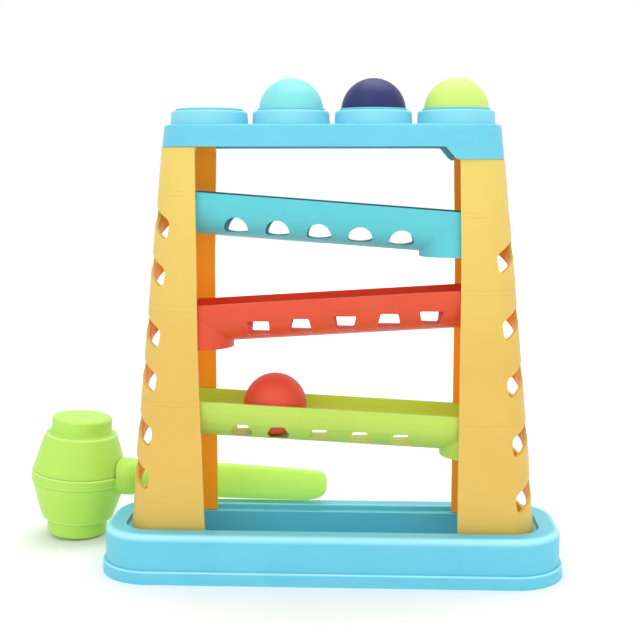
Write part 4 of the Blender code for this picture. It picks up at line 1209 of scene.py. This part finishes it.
# %% A ball
BALL_RADIUS = 0.023
PARTING_WIDTH, PARTING_SIZE = 0.00025, 0.9965
BALL_TILT, BALL_TURN = math.radians(58), math.radians(24)
NO_EDGES, BALL_ANGLE = 0, 60


def ball(node):
    """The ball stands in the middle of the plain ball's box."""
    nothing_selected()
    bpy.ops.mesh.primitive_uv_sphere_add(
        segments=ROUND_SIDES, ring_count=ROUND_SIDES // 2, radius=BALL_RADIUS, location=(0, 0, 0)
    )
    piece = bpy.context.object
    piece.name = "smooth_" + node
    edit(piece)
    pick("EDGE", lambda edge: at_height(edge, 0, LEVEL_SLACK))
    round_off(PARTING_WIDTH, 2)
    pick("VERT", lambda vert: abs(vert.co.z) < LEVEL_SLACK)
    bpy.ops.transform.resize(value=(PARTING_SIZE, PARTING_SIZE, 1), center_override=(0, 0, 0))
    nothing_selected()
    piece.data.transform(Matrix.Rotation(BALL_TILT, 4, "X"))
    piece.data.transform(Matrix.Rotation(BALL_TURN, 4, "Z"))
    low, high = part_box(node)
    move(piece, (low + high) / 2 - TOWER)
    mark_edge_highlights(piece, NO_EDGES)
    finish(piece, node, node, BALL_PLASTICS[node], [node], BALL_ANGLE)


for node in BALLS:
    ball(node)

# %% [markdown]
# ## The mallet
# The head is two turned cups that meet under a belt, and it leans on the edge of its lower face.
# The handle starts round at the neck and flattens to a paddle, whose lower half is flatter still.

# %% Mallet place and head section
MALLET_X, MALLET_Y = -0.2060, 0.0628
HEAD_LEAN, MALLET_YAW, HANDLE_DROOP = math.radians(4.5), math.radians(-6.6), math.radians(0.44)
HEAD_HALF, FACE_RADIUS, FACE_ROUND, HEAD_LIFT = 0.0476, 0.0218, 0.0024, 0.0004
HEAD_LEVEL = HEAD_HALF * math.cos(HEAD_LEAN) + FACE_RADIUS * math.sin(HEAD_LEAN) + HEAD_LIFT
stand = Matrix.Translation((MALLET_X, MALLET_Y, HEAD_LEVEL)) @ Matrix.Rotation(MALLET_YAW, 4, "Z")
tilt = stand @ Matrix.Rotation(HEAD_LEAN, 4, "Y")
grip = stand @ Matrix.Rotation(HANDLE_DROOP, 4, "Y")

SHELL = [
    (0.0001, HEAD_HALF),
    *quarter(FACE_ROUND, FACE_RADIUS - 0.0005, HEAD_HALF - FACE_ROUND, 90, 0),
    (0.0237, 0.0356), *quarter(0.0012, 0.0249, 0.0358, 180, 270, 3),
    *quarter(0.0016, 0.0268, 0.0330, 80, 5, 5),
    (0.0294, 0.0303), (0.0304, 0.0273), (0.0315, 0.0238), (0.0326, 0.0200), (0.0336, 0.0165),
    (0.0346, 0.0126), (0.0354, 0.0098), (0.0361, 0.0076), (0.0366, 0.0060), (0.0366, 0.0045),
    (0.0352, 0.0045), (0.0352, 0.00015), (0.0328, 0.00015), (0.0328, 0.0080), (0.0312, 0.0160),
    (0.0286, 0.0240), (0.0264, 0.0310), (0.0210, 0.0322), (0.0210, 0.0452), (0.0001, 0.0452),
]


# %% Head shells
def head_shell(name, node, flip):
    """Both cups have the same section. The lower one is turned over."""
    shell = close_turned(turned(name, SHELL), False)
    if flip:
        shell.data.transform(Matrix.Rotation(math.pi, 4, "X"))
    shell.data.transform(tilt)
    finish(shell, "mallet", "pale_green", PALE_GREEN, [node])


head_shell("turned_upper_shell", "mallet_upper_shell", False)
head_shell("turned_lower_shell", "mallet_lower_shell", True)

# %% Belt
BELT_IN, BELT_OUT, BELT_HALF, BELT_ROUND = 0.0355, 0.0366, 0.0042, 0.0012
BELT = [
    (BELT_IN, BELT_HALF), (BELT_OUT, BELT_HALF), *quarter(BELT_ROUND, BELT_OUT, 0.0030, 85, 0, 5),
    *quarter(BELT_ROUND, BELT_OUT, -0.0030, 0, -85, 5), (BELT_OUT, -BELT_HALF),
    (BELT_IN, -BELT_HALF), (BELT_IN, BELT_HALF),
]
belt = close_turned(turned("turned_belt", BELT), True)
belt.data.transform(tilt)
finish(belt, "mallet", "pale_green", PALE_GREEN, ["mallet_belt"])

# %% Handle
PADDLE = (
    (0.0330, 0.0146), (0.0400, 0.0148), (0.0445, 0.0147), (0.0475, 0.0140), (0.0500, 0.0126),
    (0.0530, 0.0114), (0.0565, 0.0110), (0.0610, 0.0114), (0.0680, 0.0124), (0.0760, 0.0133),
    (0.0860, 0.0142), (0.1020, 0.0147), (0.1200, 0.0146), (0.1400, 0.0142), (0.1580, 0.0136),
    (0.1740, 0.0131), (0.1860, 0.0127), (0.1930, 0.0124), (0.1968, 0.0119), (0.1990, 0.0110),
    (0.2005, 0.0097), (0.2014, 0.0080), (0.2019, 0.0056), (0.2021, 0.0010),
)
NECK_END, NECK_RUN, FLATTENING = 0.0440, 0.042, 0.45
TIP_START, TIP_LENGTH, TIP_LIFT = 0.1860, 0.0161, 0.38
BELLY_START, BELLY_RUN, BELLY_LIFT = 0.0700, 0.050, 0.08
ALONG_X = Matrix.Rotation(math.pi / 2, 4, "Y")

handle = close_turned(turned("paddle_handle", [(radius, x) for x, radius in PADDLE], 64), False)
for vert in handle.data.vertices:
    vert.co.y *= 1 - share_of(vert.co.z, NECK_END, NECK_RUN) * FLATTENING
    if vert.co.x > 0:
        vert.co.x *= 1 - TIP_LIFT * (max(vert.co.z - TIP_START, 0) / TIP_LENGTH) ** 2
        vert.co.x *= 1 - BELLY_LIFT * share_of(vert.co.z, BELLY_START, BELLY_RUN)
handle.data.transform(ALONG_X)
handle.data.transform(grip)

# %% The neck's seat follows the head, and a tenon goes through the belt
SEAT_GAP, SEAT_WAIST = 0.0004, (0.0385, 0.0046)
TENON_RADIUS, TENON_START, TENON_END = 0.0032, 0.0290, 0.0460
HANDLE_EASE, HANDLE_ANGLE = 0.0003, 50
LIT_START, LIT_RUN = -0.170, 0.06

barrel = SHELL[7:24]  # the outside, from the face's rim nearly to the belt
above = [(radius + SEAT_GAP, height) for radius, height in barrel]
below = [(radius, -height) for radius, height in reversed(above)]
head_space = close_turned(turned("head_space", [*above, SEAT_WAIST, *below]), False)
head_space.data.transform(tilt)
combine(handle, [head_space], "DIFFERENCE")
tenon_stations = [(TENON_RADIUS, TENON_START), (TENON_RADIUS, TENON_END)]
tenon = close_turned(turned("tenon", tenon_stations, 32), False)
tenon.data.transform(tilt @ ALONG_X)
combine(handle, [tenon], "UNION")
ease_edges(handle, HANDLE_EASE)
# Painted light: from the neck on, the handle takes the lighter colour and glows.
mark_painted_light(handle, lambda centre, normal: share_of(centre.x, LIT_START, LIT_RUN))
finish(handle, "mallet", "pale_green", LIT_GREEN_HANDLE, ["mallet_handle"], HANDLE_ANGLE)
